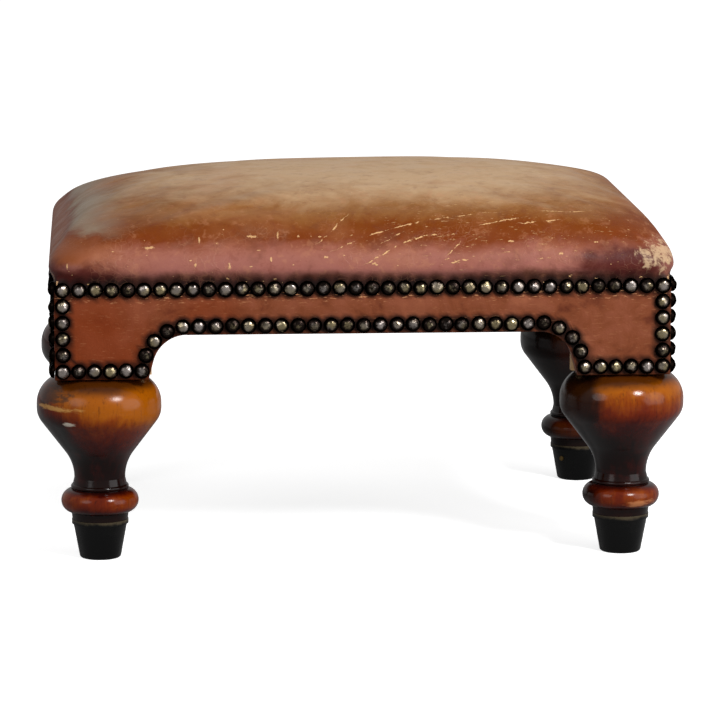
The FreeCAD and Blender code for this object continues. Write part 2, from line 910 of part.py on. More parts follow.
hessian = doc.addObject("Part::Box", "hessian")
hessian.Label = "hessian"
bind(hessian, "Length", s.frame_length - s.hessian_margin * 2)
bind(hessian, "Width", s.frame_depth - s.hessian_margin * 2)
bind(hessian, "Height", s.hessian_thickness)
stand(hessian, s.hessian_margin - half_length, s.hessian_margin - half_depth, web_top)


# Seat: the stuffing, a layer of wadding and the leather share one domed form, each further in.

def rounded_rectangle(sketch, half_x, half_y, corner):
    x = half_x - corner
    y = half_y - corner
    draw(sketch, [
        (x, -half_y),
        (half_x, -y, x, -y, corner, 1),
        (half_x, y),
        (x, half_y, x, y, corner, 1),
        (-x, half_y),
        (-half_x, y, -x, y, corner, 1),
        (-half_x, -y),
        (-x, -half_y, -x, -y, corner, 1),
    ])


def seat_level(inset, angle, crown_share):
    """Half sizes, corner radius and height of one level of the dome, an inset inside the leather."""
    lie = 1 - cosine(angle)
    edge_y = half_depth + s.leather + s.edge_bulge
    middle = edge_y - s.shoulder_inset
    step_in = s.shoulder_inset * lie + middle * crown_share
    half_x = half_length + s.leather + s.edge_bulge - step_in - inset * cosine(angle)
    half_y = edge_y - step_in - inset * cosine(angle)
    left = 1 - step_in / edge_y
    height = edge_z + s.shoulder_rise * sine(angle) + s.crown_rise * (1 - left * left) - inset * sine(angle)
    share = s.edge_corner_share + (s.shoulder_corner_share - s.edge_corner_share) * lie
    share = share + s.crown_corner_gain * crown_share
    return half_x, half_y, half_y * share, height


def seat_levels(inset, start):
    """The dome's levels from a starting height on the side up to the crown."""
    rise = (start - s.rail_top) / s.edge_height
    out = s.leather + s.edge_bulge * rise - inset
    corner = s.rail_corner_radius + s.leather - inset + (half_depth * s.edge_corner_share) * rise
    levels = [(half_length + out, half_depth + out, corner, start)]
    levels += [seat_level(inset, angle, 0) for angle in SHOULDER_ANGLES]
    levels += [seat_level(inset, SHOULDER_ANGLES[-1], share) for share in CROWN_SHARES]
    return levels


def seat_dome(body, kind, inset, start):
    """Adds or takes away the dome as a loft through its levels."""
    sketches = []
    for index, (half_x, half_y, corner, height) in enumerate(seat_levels(as_size(inset), start)):
        sketch = new_sketch(body, f"{kind}_level_{index}", "XY_Plane", height)
        rounded_rectangle(sketch, half_x, half_y, corner)
        sketches.append(sketch)
    loft = body.newObject(f"PartDesign::{kind}Loft", f"{body.Name}_{kind}_dome")
    loft.Profile = sketches[0]
    loft.Sections = sketches[1:]
    loft.Ruled = False
    return loft


def seat_skirt(body, name, inset, make):
    """The straight band of leather that comes down over the rails to the nails."""
    sketch = new_sketch(body, name, "XY_Plane", s.nail_row)
    out = s.leather - inset
    rounded_rectangle(sketch, half_length + out, half_depth + out, s.rail_corner_radius + out)
    return make(body, sketch, s.rail_top - s.nail_row)


cover = new_body("seat_cover_blank")
seat_skirt(cover, "skirt", as_size(0), pad)
seat_dome(cover, "Additive", 0, s.rail_top)
seat_dome(cover, "Subtractive", s.leather, s.rail_top)
inner_skirt = seat_skirt(cover, "inner_skirt", s.leather, pocket)
inner_skirt.Reversed = True

top_row = []
for side in FACES:
    outward = FACES[side][2]
    for start, length in nails_of(side):
        if start.z == s.nail_row.number:
            top_row.append(cylinder(start + outward * s.leather.number, outward * -1,
                                    s.nail_shank_radius.number, length + s.leather.number))
drilled("seat_cover", cover, top_row)

wadding_inset = s.leather + s.layer_clearance
wadding = new_body("wadding")
seat_dome(wadding, "Additive", wadding_inset, hessian_top)
seat_dome(wadding, "Subtractive", wadding_inset + s.wadding_thickness, hessian_top)

stuffing = new_body("stuffing_pad")
seat_dome(stuffing, "Additive", wadding_inset + s.wadding_thickness + s.layer_clearance, hessian_top)


# Black cloth that closes the frame from below, notched round the corner blocks.

def dust_cloth():
    body = new_body("dust_cover_blank")
    sketch = new_sketch(body, "plan", "XY_Plane", arch_edge - s.cloth_thickness)
    notch = s.block_width + s.cloth_clearance
    blunt = s.block_blunt + s.cloth_clearance
    in_x = inner_length - s.cloth_clearance
    in_y = inner_depth - s.cloth_clearance
    out_x = half_length - s.cloth_margin
    out_y = half_depth - s.cloth_margin
    tab_x = arch_points(half_length, s.leather)["crown"][0]
    tab_y = arch_points(half_depth, s.leather)["crown"][0]
    quarter = [
        (tab_x, out_y),
        (tab_x, in_y),
        (in_x - notch, in_y),
        (in_x - notch, in_y - blunt),
        (in_x - blunt, in_y - notch),
        (in_x, in_y - notch),
        (in_x, tab_y),
        (out_x, tab_y),
    ]
    outline = list(quarter)
    outline += [(x, -y) for x, y in reversed(quarter)]
    outline += [(-x, -y) for x, y in quarter]
    outline += [(-x, y) for x, y in reversed(quarter)]
    draw(sketch, outline)
    pad(body, sketch, s.cloth_thickness)
    return body


cloth_tack_holes = holes_for(cloth_tack_places(), s.cloth_tack_radius.number, s.cloth_tack_length.number,
                             anywhere)
drilled("dust_cover", dust_cloth(), cloth_tack_holes)
cloth_tack = tack_master("cloth_tack_master", s.cloth_tack_radius, s.cloth_tack_length,
                         s.cloth_tack_head_radius, s.cloth_tack_head)
driven_in("dust_cover_tacks", cloth_tack, cloth_tack_places())


# Domed nails, one node for each face.

full_nail = nail_master("nail_master", s.nail_shank_length)
snipped_nail = nail_master("snipped_nail_master", s.snipped_shank_length)
doc.recompute()
for side in FACES:
    outward = FACES[side][2]
    solids = []
    for start, length in nails_of(side):
        master = full_nail if length == s.nail_shank_length.number else snipped_nail
        solid = master.Shape.copy()
        solid.Placement = facing(outward, start)
        solids.append(solid)
    group = doc.addObject("Part::Feature", f"nails_{side}")
    group.Shape = Part.makeCompound(solids)
    group.Label = f"nails_{side}"


NODES = [f"{side}_rail" for side in RAILS]
NODES += [f"{side}_border" for side in RAILS]
NODES += [f"corner_block_{corner}" for corner in CORNERS]
NODES += [f"leg_{corner}" for corner in CORNERS]
NODES += [f"foot_cup_{corner}" for corner in CORNERS]
NODES += [f"nails_{side}" for side in FACES]
NODES += ["corner_dowels", "block_screws", "leg_bolts", "bolt_inserts", "cup_pins"]
NODES += ["webbing_long", "webbing_cross", "webbing_tacks", "hessian", "stuffing_pad", "wadding"]
NODES += ["seat_cover", "dust_cover", "dust_cover_tacks"]

doc.recompute()
for item in doc.Objects:
    if "Invalid" in item.State or "Error" in item.State:
        raise RuntimeError(f"{item.Name} failed: {item.State}")

os.makedirs("parts", exist_ok=True)
shapes = {name: doc.getObjectsByLabel(name)[0].Shape for name in NODES}
for name, shape in shapes.items():
    if shape.isNull() or not shape.isValid() or not shape.Solids:
        raise RuntimeError(f"{name} is not a valid solid")
for name, shape in shapes.items():
    shape.exportStep(f"parts/{name}.step")
    box = shape.BoundBox
    print(f"{name}: {len(shape.Solids)} solids, {shape.Volume:.0f} mm3, z {box.ZMin:.1f} to {box.ZMax:.1f}")
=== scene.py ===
import math
import json

import bpy
import bmesh
import numpy as np
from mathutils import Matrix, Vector


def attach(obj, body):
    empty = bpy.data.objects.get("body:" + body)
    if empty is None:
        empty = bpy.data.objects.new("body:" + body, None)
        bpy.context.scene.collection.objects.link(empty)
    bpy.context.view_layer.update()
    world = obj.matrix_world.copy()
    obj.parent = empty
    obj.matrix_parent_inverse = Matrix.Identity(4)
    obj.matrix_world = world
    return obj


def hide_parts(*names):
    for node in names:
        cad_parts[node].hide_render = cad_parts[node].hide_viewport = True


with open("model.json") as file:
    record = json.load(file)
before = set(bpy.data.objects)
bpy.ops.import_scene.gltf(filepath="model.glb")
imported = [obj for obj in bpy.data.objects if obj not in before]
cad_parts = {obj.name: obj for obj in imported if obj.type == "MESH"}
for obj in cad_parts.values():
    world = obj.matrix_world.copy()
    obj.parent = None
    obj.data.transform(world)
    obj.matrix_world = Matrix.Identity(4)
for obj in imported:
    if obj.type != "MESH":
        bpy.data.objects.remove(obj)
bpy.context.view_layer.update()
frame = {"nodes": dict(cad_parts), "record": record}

# sizes, metres

HALF_LENGTH = 0.2075        # wooden frame, without its leather
HALF_DEPTH = 0.1635
LEATHER = 0.0015
NAIL_ROW = 0.189            # height of the top row of nails
LUG_FOOT = 0.1275           # underside of the leather at the corners
ARCH_TOP = 0.1578           # underside of the leather between the corners
LUG_WIDTH = 0.0605
ARCH_RADIUS = 0.0235
ARCH_LEAN = math.radians(15)
LEG_X = 0.1795
EDGE_X, EDGE_Y, EDGE_Z = 0.213, 0.169, 0.201            # widest ring of the seat
SHOULDER_IN, SHOULDER_UP, CROWN_UP = 0.0387, 0.036, 0.015
RINGS_UP, RINGS_IN = 15, 39     # rings on the shoulder and over the top
LONGER = 13                     # grid steps by which the seat's length exceeds its depth
DEEP = RINGS_UP + RINGS_IN
WIDE = DEEP + LONGER
HIDE_LONGER = 0.044             # the same in the flat pattern, half of it
TO_NAILS = 0.0125               # leather between the widest ring and the nails
TURN_UNDER = 0.0175             # strip of a border under its rail
BORDER_THICK = 0.0012
NAIL_RADIUS, NAIL_RISE = 0.0054, 0.0046
NAIL_FOOT = 0.0037              # from the tip of a CAD nail back to where the head starts
SIDES = {"front": (1, -1), "back": (1, 1), "left": (0, -1), "right": (0, 1)}    # axis and sign


def deselect():
    for item in bpy.context.selected_objects:
        item.select_set(False)


def only(item):
    deselect()
    item.select_set(True)
    bpy.context.view_layer.objects.active = item


# finishes

def tone(red, green, blue):
    """A colour as seen on screen, 0 to 255, as the linear colour that a shader takes."""
    def linear(value):
        value /= 255
        return value / 12.92 if value < 0.04045 else ((value + 0.055) / 1.055) ** 2.4
    return (linear(red), linear(green), linear(blue), 1)


class Finish:
    """One material: a Principled shader and the patterns that drive it."""

    def __init__(self, name, **sockets):
        self.material = bpy.data.materials.new(name)
        self.material.use_nodes = True
        self.tree = self.material.node_tree
        self.shader = self.tree.nodes["Principled BSDF"]
        for socket, value in sockets.items():
            self.shader.inputs[socket.replace("_", " ")].default_value = value
        self.place = self.add("ShaderNodeTexCoord").outputs["Object"]
        split = self.add("ShaderNodeSeparateXYZ", {0: self.place})
        self.x, self.y, self.z = split.outputs

    def add(self, kind, inputs=None, **settings):
        node = self.tree.nodes.new(kind)
        for key, value in settings.items():
            setattr(node, key, value)
        for socket, value in (inputs or {}).items():
            self.feed(node.inputs[socket], value)
        return node

    def feed(self, socket, value):
        if isinstance(value, bpy.types.NodeSocket):
            self.tree.links.new(value, socket)
        else:
            socket.default_value = value

    def to(self, socket, value):
        self.feed(self.shader.inputs[socket], value)

    def stretch(self, scale, turn=(0, 0, 0), source=None):
        return self.add("ShaderNodeMapping", {"Vector": source or self.place, "Scale": scale,
                                              "Rotation": turn}).outputs[0]

    def noise(self, scale, detail=3, rough=0.55, bend=0, source=None):
        return self.add("ShaderNodeTexNoise", {
            "Vector": source or self.place, "Scale": scale, "Detail": detail,
            "Roughness": rough, "Distortion": bend}).outputs[0]

    def cells(self, scale, feature="F1", source=None):
        return self.add("ShaderNodeTexVoronoi", {"Vector": source or self.place, "Scale": scale},
                        feature=feature).outputs[0]

    def maths(self, operation, first, second=0.0):
        return self.add("ShaderNodeMath", {0: first, 1: second}, operation=operation).outputs[0]

    def times(self, first, second):
        return self.maths("MULTIPLY", first, second)

    def plus(self, first, second):
        return self.maths("ADD", first, second)

    def wobble(self, pattern, amount):
        """A pattern brought to about zero, times an amount."""
        return self.times(self.maths("SUBTRACT", pattern, 0.5), amount)

    def vector(self, operation, *inputs, output=0):
        node = self.add("ShaderNodeVectorMath", dict(enumerate(inputs)), operation=operation)
        return node.outputs[output]

    def fade(self, value, low, high, out_low=0.0, out_high=1.0, smooth=True):
        kind = "SMOOTHSTEP" if smooth else "LINEAR"
        return self.add("ShaderNodeMapRange", {
            "Value": value, "From Min": low, "From Max": high,
            "To Min": out_low, "To Max": out_high}, interpolation_type=kind).outputs[0]

    def ramp(self, value, stops):
        node = self.add("ShaderNodeValToRGB", {0: value})
        marks = node.color_ramp.elements
        while len(marks) < len(stops):
            marks.new(0.5)
        for mark, (place, colour) in zip(marks, stops):
            mark.position = place
            mark.color = colour
        return node.outputs[0]

    def blend(self, factor, first, second):
        node = self.add("ShaderNodeMix", data_type="RGBA")
        self.feed(node.inputs[0], factor)
        self.feed(node.inputs[6], first)
        self.feed(node.inputs[7], second)
        return node.outputs[2]

    def bump(self, height, strength, distance, under=None):
        inputs = {"Height": height, "Strength": strength, "Distance": distance}
        if under is not None:
            inputs["Normal"] = under
        return self.add("ShaderNodeBump", inputs).outputs[0]

    def painted(self, name):
        """A pattern painted on the piece's own points."""
        return self.add("ShaderNodeAttribute", attribute_name=name, attribute_type="GEOMETRY")

    def spot(self, centre, size, wander=None, amount=0.0):
        """1 at a place on the piece, falling to 0 at a distance of size along each axis."""
        shifted = self.vector("SUBTRACT", self.place, centre)
        scaled = self.vector("DIVIDE", shifted, size)
        far = self.vector("LENGTH", scaled, output="Value")
        if wander is not None:
            far = self.plus(far, self.wobble(wander, amount))
        return self.fade(far, 1.0, 0.35)


# Small knocks on the seat's front edge: across, height, half width, half height and slant.
KNOCKS = (
    (-0.111, 0.2212, 0.0007, 0.0028, 0.1), (-0.145, 0.217, 0.0036, 0.0009, -0.3),
    (-0.075, 0.2235, 0.0036, 0.0008, -0.4), (-0.058, 0.224, 0.0009, 0.0024, 0.3),
    (-0.044, 0.2235, 0.0010, 0.0009, 0.0), (-0.091, 0.2055, 0.0010, 0.0028, 0.0),
    (-0.092, 0.196, 0.0014, 0.0010, 0.0), (-0.114, 0.206, 0.0007, 0.0016, 0.0),
    (-0.063, 0.2093, 0.0007, 0.0020, 0.0), (-0.060, 0.1957, 0.0013, 0.0009, 0.0),
    (-0.077, 0.2045, 0.0018, 0.0006, 0.0), (-0.026, 0.2105, 0.0018, 0.0009, 0.0),
    (0.007, 0.206, 0.0028, 0.0012, -0.2), (-0.200, 0.2055, 0.0007, 0.0020, 0.0),
    (0.133, 0.2115, 0.0020, 0.0010, 0.4), (0.1, 0.2195, 0.0024, 0.0008, -0.2),
    (0.158, 0.2185, 0.0016, 0.0006, 0.0), (-0.186, 0.193, 0.0012, 0.0006, 0.0),
)


def antiqued_seat_leather():
    f = Finish("antiqued_seat_leather", IOR=1.3, Specular_IOR_Level=0.35)
    broad = f.noise(16, 3)
    blotch = f.noise(48, 4, 0.6, 0.4)
    wander = f.wobble(f.noise(26, 4, 0.65, 0.6), 0.022)
    level = f.fade(f.plus(f.z, wander), 0.189, 0.2515, smooth=False)
    # colour by height over the dome: darkest at the nails, mauve sides, an orange shoulder and a pale top,
    # which is partly a painted sheen
    colour = f.ramp(level, [
        (0.00, tone(52, 28, 22)),
        (0.09, tone(96, 54, 42)),
        (0.19, tone(150, 92, 82)),
        (0.38, tone(146, 88, 72)),
        (0.52, tone(112, 48, 7)),
        (0.66, tone(112, 52, 1)),
        (0.80, tone(138, 90, 44)),
        (1.00, tone(190, 156, 118)),
    ])
    dark = f.times(f.fade(blotch, 0.52, 0.72), f.fade(f.z, 0.244, 0.228, 0.3, 1.0))
    colour = f.blend(f.times(dark, 0.4), colour, tone(88, 44, 26))
    light = f.fade(broad, 0.5, 0.7)
    colour = f.blend(f.times(light, 0.22), colour, tone(176, 118, 80))
    speck = f.noise(120, 4, 0.7, 0.3)
    colour = f.blend(f.times(f.fade(speck, 0.52, 0.68), 0.24), colour, tone(98, 34, 18))
    colour = f.blend(f.times(f.fade(speck, 0.46, 0.34), 0.2), colour, tone(186, 128, 92))
    # the left end: a painted grey sheen above, and more orange below
    end = f.fade(f.plus(f.x, f.wobble(broad, 0.05)), -0.15, -0.197)
    painted_sheen_end = f.times(end, f.fade(level, 0.5, 0.64))
    colour = f.blend(f.times(painted_sheen_end, 0.75), colour, tone(150, 136, 114))
    warm_end = f.times(end, f.times(f.fade(level, 0.2, 0.3), f.fade(level, 0.56, 0.46)))
    colour = f.blend(f.times(warm_end, 0.8), colour, tone(126, 64, 20))
    # wine-red stain low on the corners
    for centre, size in (((-0.19, -0.16, 0.1985), (0.05, 0.03, 0.0125)),
                         ((0.18, -0.166, 0.206), (0.05, 0.03, 0.016)),
                         ((0.206, 0.1, 0.203), (0.03, 0.05, 0.014)),
                         ((-0.12, 0.168, 0.203), (0.06, 0.03, 0.014))):
        stain = f.spot(centre, size, blotch, 1.4)
        colour = f.blend(f.times(stain, 0.9), colour, tone(66, 10, 7))
    # dirt and painted shade in the angle above the nails
    grime_and_shade = f.painted("grime_and_shade").outputs["Fac"]
    grime_and_shade = f.times(grime_and_shade, f.fade(blotch, 0.25, 0.6, 0.75, 1.0))
    colour = f.blend(grime_and_shade, colour, tone(22, 10, 9))
    # crazing
    craze = f.cells(210, "DISTANCE_TO_EDGE", source=bent(f, 0.007, 90))
    lines = f.fade(craze, 0.06, 0.0)
    lines = f.times(lines, f.fade(f.noise(34, 3), 0.46, 0.66))
    colour = f.blend(f.times(lines, 0.13), colour, tone(196, 140, 104))
    # scuffed fibres on the front edge, right of the middle
    streak = f.noise(150, 4, 0.7, source=f.stretch((1, 4.2, 4.2), (0, 0.5, 0)))
    scuffed = f.spot((0.075, -0.15, 0.222), (0.12, 0.08, 0.032), broad, 1.0)
    fibres = f.times(f.fade(streak, 0.62, 0.7), scuffed)
    flecks = f.noise(210, 2, 0.5, source=f.stretch((1, 2.2, 2.2), (0, 0.7, 0)))
    flecks = f.times(f.fade(flecks, 0.73, 0.76), f.fade(f.z, 0.245, 0.225))
    worn = f.maths("MAXIMUM", fibres, flecks)
    # small knocks along the front edge
    torn = f.noise(420, 3, 0.7)
    for across, up, wide, tall, slant in KNOCKS:
        knock = f.vector("SUBTRACT", f.place, (across, -0.16, up))
        knock = f.stretch((1 / wide, 3.0, 1 / tall), (0, slant, 0), source=knock)
        knock = f.vector("LENGTH", knock, output="Value")
        knock = f.plus(knock, f.wobble(torn, 3.4))
        worn = f.maths("MAXIMUM", worn, f.fade(knock, 1.0, 0.4, 0.0, 0.85))
    # the long creases
    for layer in ("crease_a", "crease_b", "crease_c"):
        pair = f.add("ShaderNodeSeparateXYZ", {0: f.painted(layer).outputs["Vector"]})
        across = f.maths("ABSOLUTE", f.plus(pair.outputs[0], f.wobble(f.noise(260, 3), 0.0034)))
        width = f.times(pair.outputs[1], f.fade(f.noise(150, 4, 0.7), 0.4, 0.66, -0.0004, 0.0007))
        crease = f.fade(f.maths("SUBTRACT", across, width), 0.0003, -0.0002)
        crease = f.times(crease, f.fade(pair.outputs[1], 0.02, 0.3))
        worn = f.maths("MAXIMUM", worn, crease)
    colour = f.blend(f.times(worn, 0.8), colour, tone(222, 176, 122))
    # rubbed corner
    rubbed = f.spot((0.2, -0.15, 0.2085), (0.016, 0.035, 0.011), f.noise(190, 4, 0.7, 0.5), 3.2)
    colour = f.blend(f.times(rubbed, 0.62), colour, tone(206, 176, 138))
    f.to("Base Color", colour)
    f.to("Roughness", f.fade(blotch, 0.3, 0.75, 0.36, 0.54))
    grain = f.cells(620, "F1")
    relief = f.bump(grain, 0.12, 0.0004)
    relief = f.bump(blotch, 0.25, 0.0016, relief)
    relief = f.bump(lines, 0.25, 0.0006, relief)
    relief = f.bump(worn, 0.5, 0.0006, relief)
    f.to("Normal", relief)
    return f.material


def bent(f, amount, scale):
    """Object coordinates pushed about, so that cells don't look drawn."""
    push = f.add("ShaderNodeTexNoise", {"Vector": f.place, "Scale": scale, "Detail": 2.0}).outputs["Color"]
    centred = f.vector("SUBTRACT", push, (0.5, 0.5, 0.5))
    return f.vector("ADD", f.place, f.vector("MULTIPLY", centred, (amount, amount, amount)))


def border_leather():
    f = Finish("border_leather", IOR=1.25, Specular_IOR_Level=0.3)
    blotch = f.noise(42, 4, 0.62, 0.5)
    broad = f.noise(13, 2)
    colour = f.ramp(blotch, [
        (0.30, tone(92, 42, 26)),
        (0.45, tone(124, 66, 40)),
        (0.58, tone(134, 74, 50)),
        (0.75, tone(150, 88, 60)),
    ])
    rust = f.fade(f.plus(f.times(f.x, -3.0), broad), 0.62, 1.05)
    colour = f.blend(f.times(rust, 0.8), colour, tone(124, 50, 16))
    # dirt and painted shade round the nails and in the gaps between them
    grime_and_shade = f.painted("grime_and_shade").outputs["Fac"]
    grime_and_shade = f.times(grime_and_shade, f.fade(blotch, 0.2, 0.7, 0.8, 1.0))
    colour = f.blend(0.1, colour, tone(60, 20, 16))
    colour = f.blend(grime_and_shade, colour, tone(12, 5, 4))
    scratch = f.noise(190, 3, 0.6, source=f.stretch((1, 1, 5), (0, 0.25, 0)))
    edge = f.fade(f.z, 0.177, 0.184)
    scratch = f.times(f.fade(scratch, 0.6, 0.68), f.plus(f.times(edge, 0.75), 0.12))
    colour = f.blend(scratch, colour, tone(196, 138, 96))
    f.to("Base Color", colour)
    f.to("Roughness", f.fade(blotch, 0.3, 0.7, 0.42, 0.6))
    relief = f.bump(f.cells(640, "F1"), 0.15, 0.0004)
    relief = f.bump(blotch, 0.3, 0.0015, relief)
    f.to("Normal", relief)
    return f.material


def turned_mahogany():
    f = Finish("turned_mahogany", IOR=1.3, Specular_IOR_Level=0.5)
    side = f.maths("SIGN", f.x)
    out_x = f.maths("SUBTRACT", f.x, f.times(side, LEG_X))
    streaks = f.noise(9, 5, 0.7, 0.8, source=f.stretch((14, 14, 3)))
    pores = f.noise(30, 4, 0.7, source=f.stretch((16, 16, 1.6)))
    blotch = f.noise(24, 4, 0.6, 0.5)
    # lighter towards the top and the right of each leg: rubbed finish and painted light from the right; the
    # left leg is rubbed lower down, and more on its right
    lean = f.times(out_x, f.maths("SUBTRACT", 9.0, f.times(side, 7.0)))
    rise = f.maths("SUBTRACT", f.z, f.plus(0.0925, f.times(side, 0.0035)))
    rubbed_and_lit = f.plus(lean, f.times(rise, 40.0))
    bead = f.fade(f.maths("ABSOLUTE", f.maths("SUBTRACT", f.z, 0.041)), 0.011, 0.003)
    rubbed_and_lit = f.plus(f.maths("MAXIMUM", rubbed_and_lit, -0.7), f.times(bead, 0.98))
    rubbed_and_lit = f.plus(rubbed_and_lit, f.wobble(blotch, 1.7))
    rubbed_and_lit = f.plus(rubbed_and_lit, f.wobble(streaks, 0.9))
    colour = f.ramp(f.fade(rubbed_and_lit, -0.7, 0.85, smooth=False), [
        (0.00, tone(16, 2, 1)),
        (0.36, tone(62, 7, 2)),
        (0.60, tone(98, 28, 1)),
        (0.80, tone(124, 52, 1)),
        (1.00, tone(150, 78, 3)),
    ])
    # darker bands at the neck and the groove above the cup, and painted shade in the band at the top of the
    # leg
    for low, high in ((0.0465, 0.0535), (0.027, 0.0322), (0.1262, 0.1285)):
        away = f.maths("ABSOLUTE", f.maths("SUBTRACT", f.z, (low + high) / 2))
        near = f.fade(away, (high - low) * 0.8, (high - low) * 0.2)
        colour = f.blend(f.times(near, 0.75), colour, tone(20, 6, 4))
    # painted shadow at the top of the leg, under the rails
    under = f.fade(f.plus(f.z, f.wobble(blotch, 0.01)), 0.1165, 0.124)
    colour = f.blend(f.times(under, 0.85), colour, tone(34, 10, 3))
    # painted shade: black on the left side of each leg, away from the light; on the left legs only low on
    # the bulb
    dull = f.fade(f.plus(out_x, f.wobble(blotch, 0.02)), -0.014, -0.025)
    low = f.times(f.fade(f.z, 0.108, 0.094), f.fade(f.z, 0.05, 0.058))
    dull = f.times(dull, f.maths("MAXIMUM", low, f.fade(f.x, 0.0, 0.05)))
    colour = f.blend(f.times(dull, 0.92), colour, tone(9, 3, 2))
    colour = f.blend(f.times(f.fade(pores, 0.55, 0.7), 0.45), colour, tone(24, 6, 3))
    # bare wood where the finish is chipped and worn; the last spot, on the front right bead, is a painted
    # highlight
    frayed = f.noise(170, 4, 0.7, source=f.stretch((0.5, 0.5, 1.6)))
    for centre, size, strength, bare_and_glint in (
            ((-0.213, -0.155, 0.1165), (0.026, 0.026, 0.009), 0.75, tone(44, 36, 30)),
            ((-0.206, -0.163, 0.1085), (0.03, 0.02, 0.0024), 0.85, tone(190, 140, 76)),
            ((-0.2, -0.17, 0.0985), (0.004, 0.02, 0.0016), 0.9, tone(206, 196, 180)),
            ((0.204, 0.15, 0.112), (0.02, 0.03, 0.003), 0.7, tone(170, 130, 84)),
            ((-0.196, 0.155, 0.04), (0.02, 0.02, 0.004), 0.6, tone(150, 110, 74)),
            ((0.19, -0.158, 0.037), (0.014, 0.02, 0.003), 0.6, tone(196, 130, 84))):
        chip_and_glint = f.spot(centre, size, frayed, 2.6)
        colour = f.blend(f.times(chip_and_glint, strength), colour, bare_and_glint)
    # painted shade: the back legs darker
    painted_shade_back = f.fade(f.y, -0.05, 0.05)
    colour = f.blend(f.times(painted_shade_back, 0.72), colour, tone(20, 8, 5))
    f.to("Base Color", colour)
    f.to("Roughness", f.fade(blotch, 0.35, 0.7, 0.1, 0.24))
    relief = f.bump(pores, 0.08, 0.0004)
    relief = f.bump(f.noise(60, 3), 0.12, 0.0012, relief)
    f.to("Normal", relief)
    return f.material


def old_nail_brass():
    f = Finish("old_nail_brass", Metallic=1.0, Specular_Tint=(0.02, 0.02, 0.02, 1.0))
    # lighter towards the crown: worn bare metal and a painted highlight on top of each head; darker towards
    # the rim
    worn = f.painted("worn").outputs["Fac"]
    mottle = f.noise(420, 3, 0.6)
    bare_and_glint = f.fade(f.plus(worn, f.wobble(mottle, 0.9)), 0.45, 0.95)
    kind = f.noise(55, 2)
    metal = f.blend(f.fade(kind, 0.4, 0.6), tone(158, 148, 142), tone(150, 136, 104))
    patina = f.blend(f.fade(worn, 0.0, 0.5), tone(14, 9, 7), tone(34, 27, 24))
    colour = f.blend(bare_and_glint, patina, metal)
    f.to("Base Color", colour)
    f.to("Roughness", f.fade(mottle, 0.3, 0.7, 0.2, 0.34))
    f.to("Normal", f.bump(f.cells(900, "F1"), 0.2, 0.0004))
    return f.material


def blackened_brass():
    f = Finish("blackened_brass", IOR=1.3, Specular_IOR_Level=0.5)
    patch = f.noise(70, 4, 0.65)
    # pale band at the rim: rubbed brass and a painted highlight
    rim_rub_and_glint = f.fade(f.plus(f.z, f.wobble(patch, 0.006)), 0.0245, 0.0268)
    colour = f.blend(f.fade(patch, 0.5, 0.75), tone(2, 2, 2), tone(9, 8, 7))
    colour = f.blend(f.times(rim_rub_and_glint, 0.45), colour, tone(96, 84, 62))
    f.to("Base Color", colour)
    f.to("Roughness", f.fade(patch, 0.3, 0.7, 0.16, 0.34))
    f.to("Normal", f.bump(f.noise(240, 3), 0.15, 0.0006))
    return f.material


def plain_wood(name, pale, dark, along):
    f = Finish(name, Specular_IOR_Level=0.3)
    grain = f.noise(8, 5, 0.65, 0.5, source=f.stretch(along))
    rays = f.noise(40, 3, 0.6, source=f.stretch(along))
    colour = f.ramp(grain, [(0.3, dark), (0.6, pale)])
    colour = f.blend(f.times(f.fade(rays, 0.58, 0.66), 0.35), colour, dark)
    f.to("Base Color", colour)
    f.to("Roughness", f.fade(grain, 0.3, 0.7, 0.5, 0.7))
    f.to("Normal", f.bump(rays, 0.15, 0.0005))
    return f.material


def metal(name, colour, dull, rough):
    f = Finish(name, Metallic=1.0)
    patch = f.noise(160, 3, 0.6)
    f.to("Base Color", f.blend(f.fade(patch, 0.4, 0.7), colour, dull))
    f.to("Roughness", f.fade(patch, 0.3, 0.7, rough, rough + 0.2))
    f.to("Normal", f.bump(patch, 0.1, 0.0003))
    return f.material


def woven(name, thread, pale, dark, rough=0.85):
    """Plain weave: threads along X and Y that pass over and under each other."""
    f = Finish(name, Roughness=rough, Specular_IOR_Level=0.15)
    soft = bent(f, thread * 0.5, 60)
    split = f.add("ShaderNodeSeparateXYZ", {0: soft})
    turn = math.pi / thread
    warp = f.maths("SINE", f.times(split.outputs[0], turn))
    weft = f.maths("SINE", f.times(split.outputs[1], turn))
    over = f.times(warp, weft)
    lift = f.maths("MAXIMUM", f.maths("ABSOLUTE", warp), f.maths("ABSOLUTE", weft))
    fuzz = f.noise(400, 3, 0.6)
    colour = f.blend(f.fade(over, -0.6, 0.6), dark, pale)
    colour = f.blend(f.times(f.fade(fuzz, 0.5, 0.75), 0.4), colour, dark)
    f.to("Base Color", colour)
    relief = f.bump(lift, 0.5, thread * 0.4)
    f.to("Normal", f.bump(over, 0.3, thread * 0.3, relief))
    return f.material


def fibre(name, pale, dark, scale):
    f = Finish(name, Roughness=0.95, Specular_IOR_Level=0.1)
    tangle = f.noise(scale, 5, 0.7, 1.5)
    f.to("Base Color", f.ramp(tangle, [(0.35, dark), (0.65, pale)]))
    f.to("Normal", f.bump(tangle, 0.6, 0.002))
    return f.material


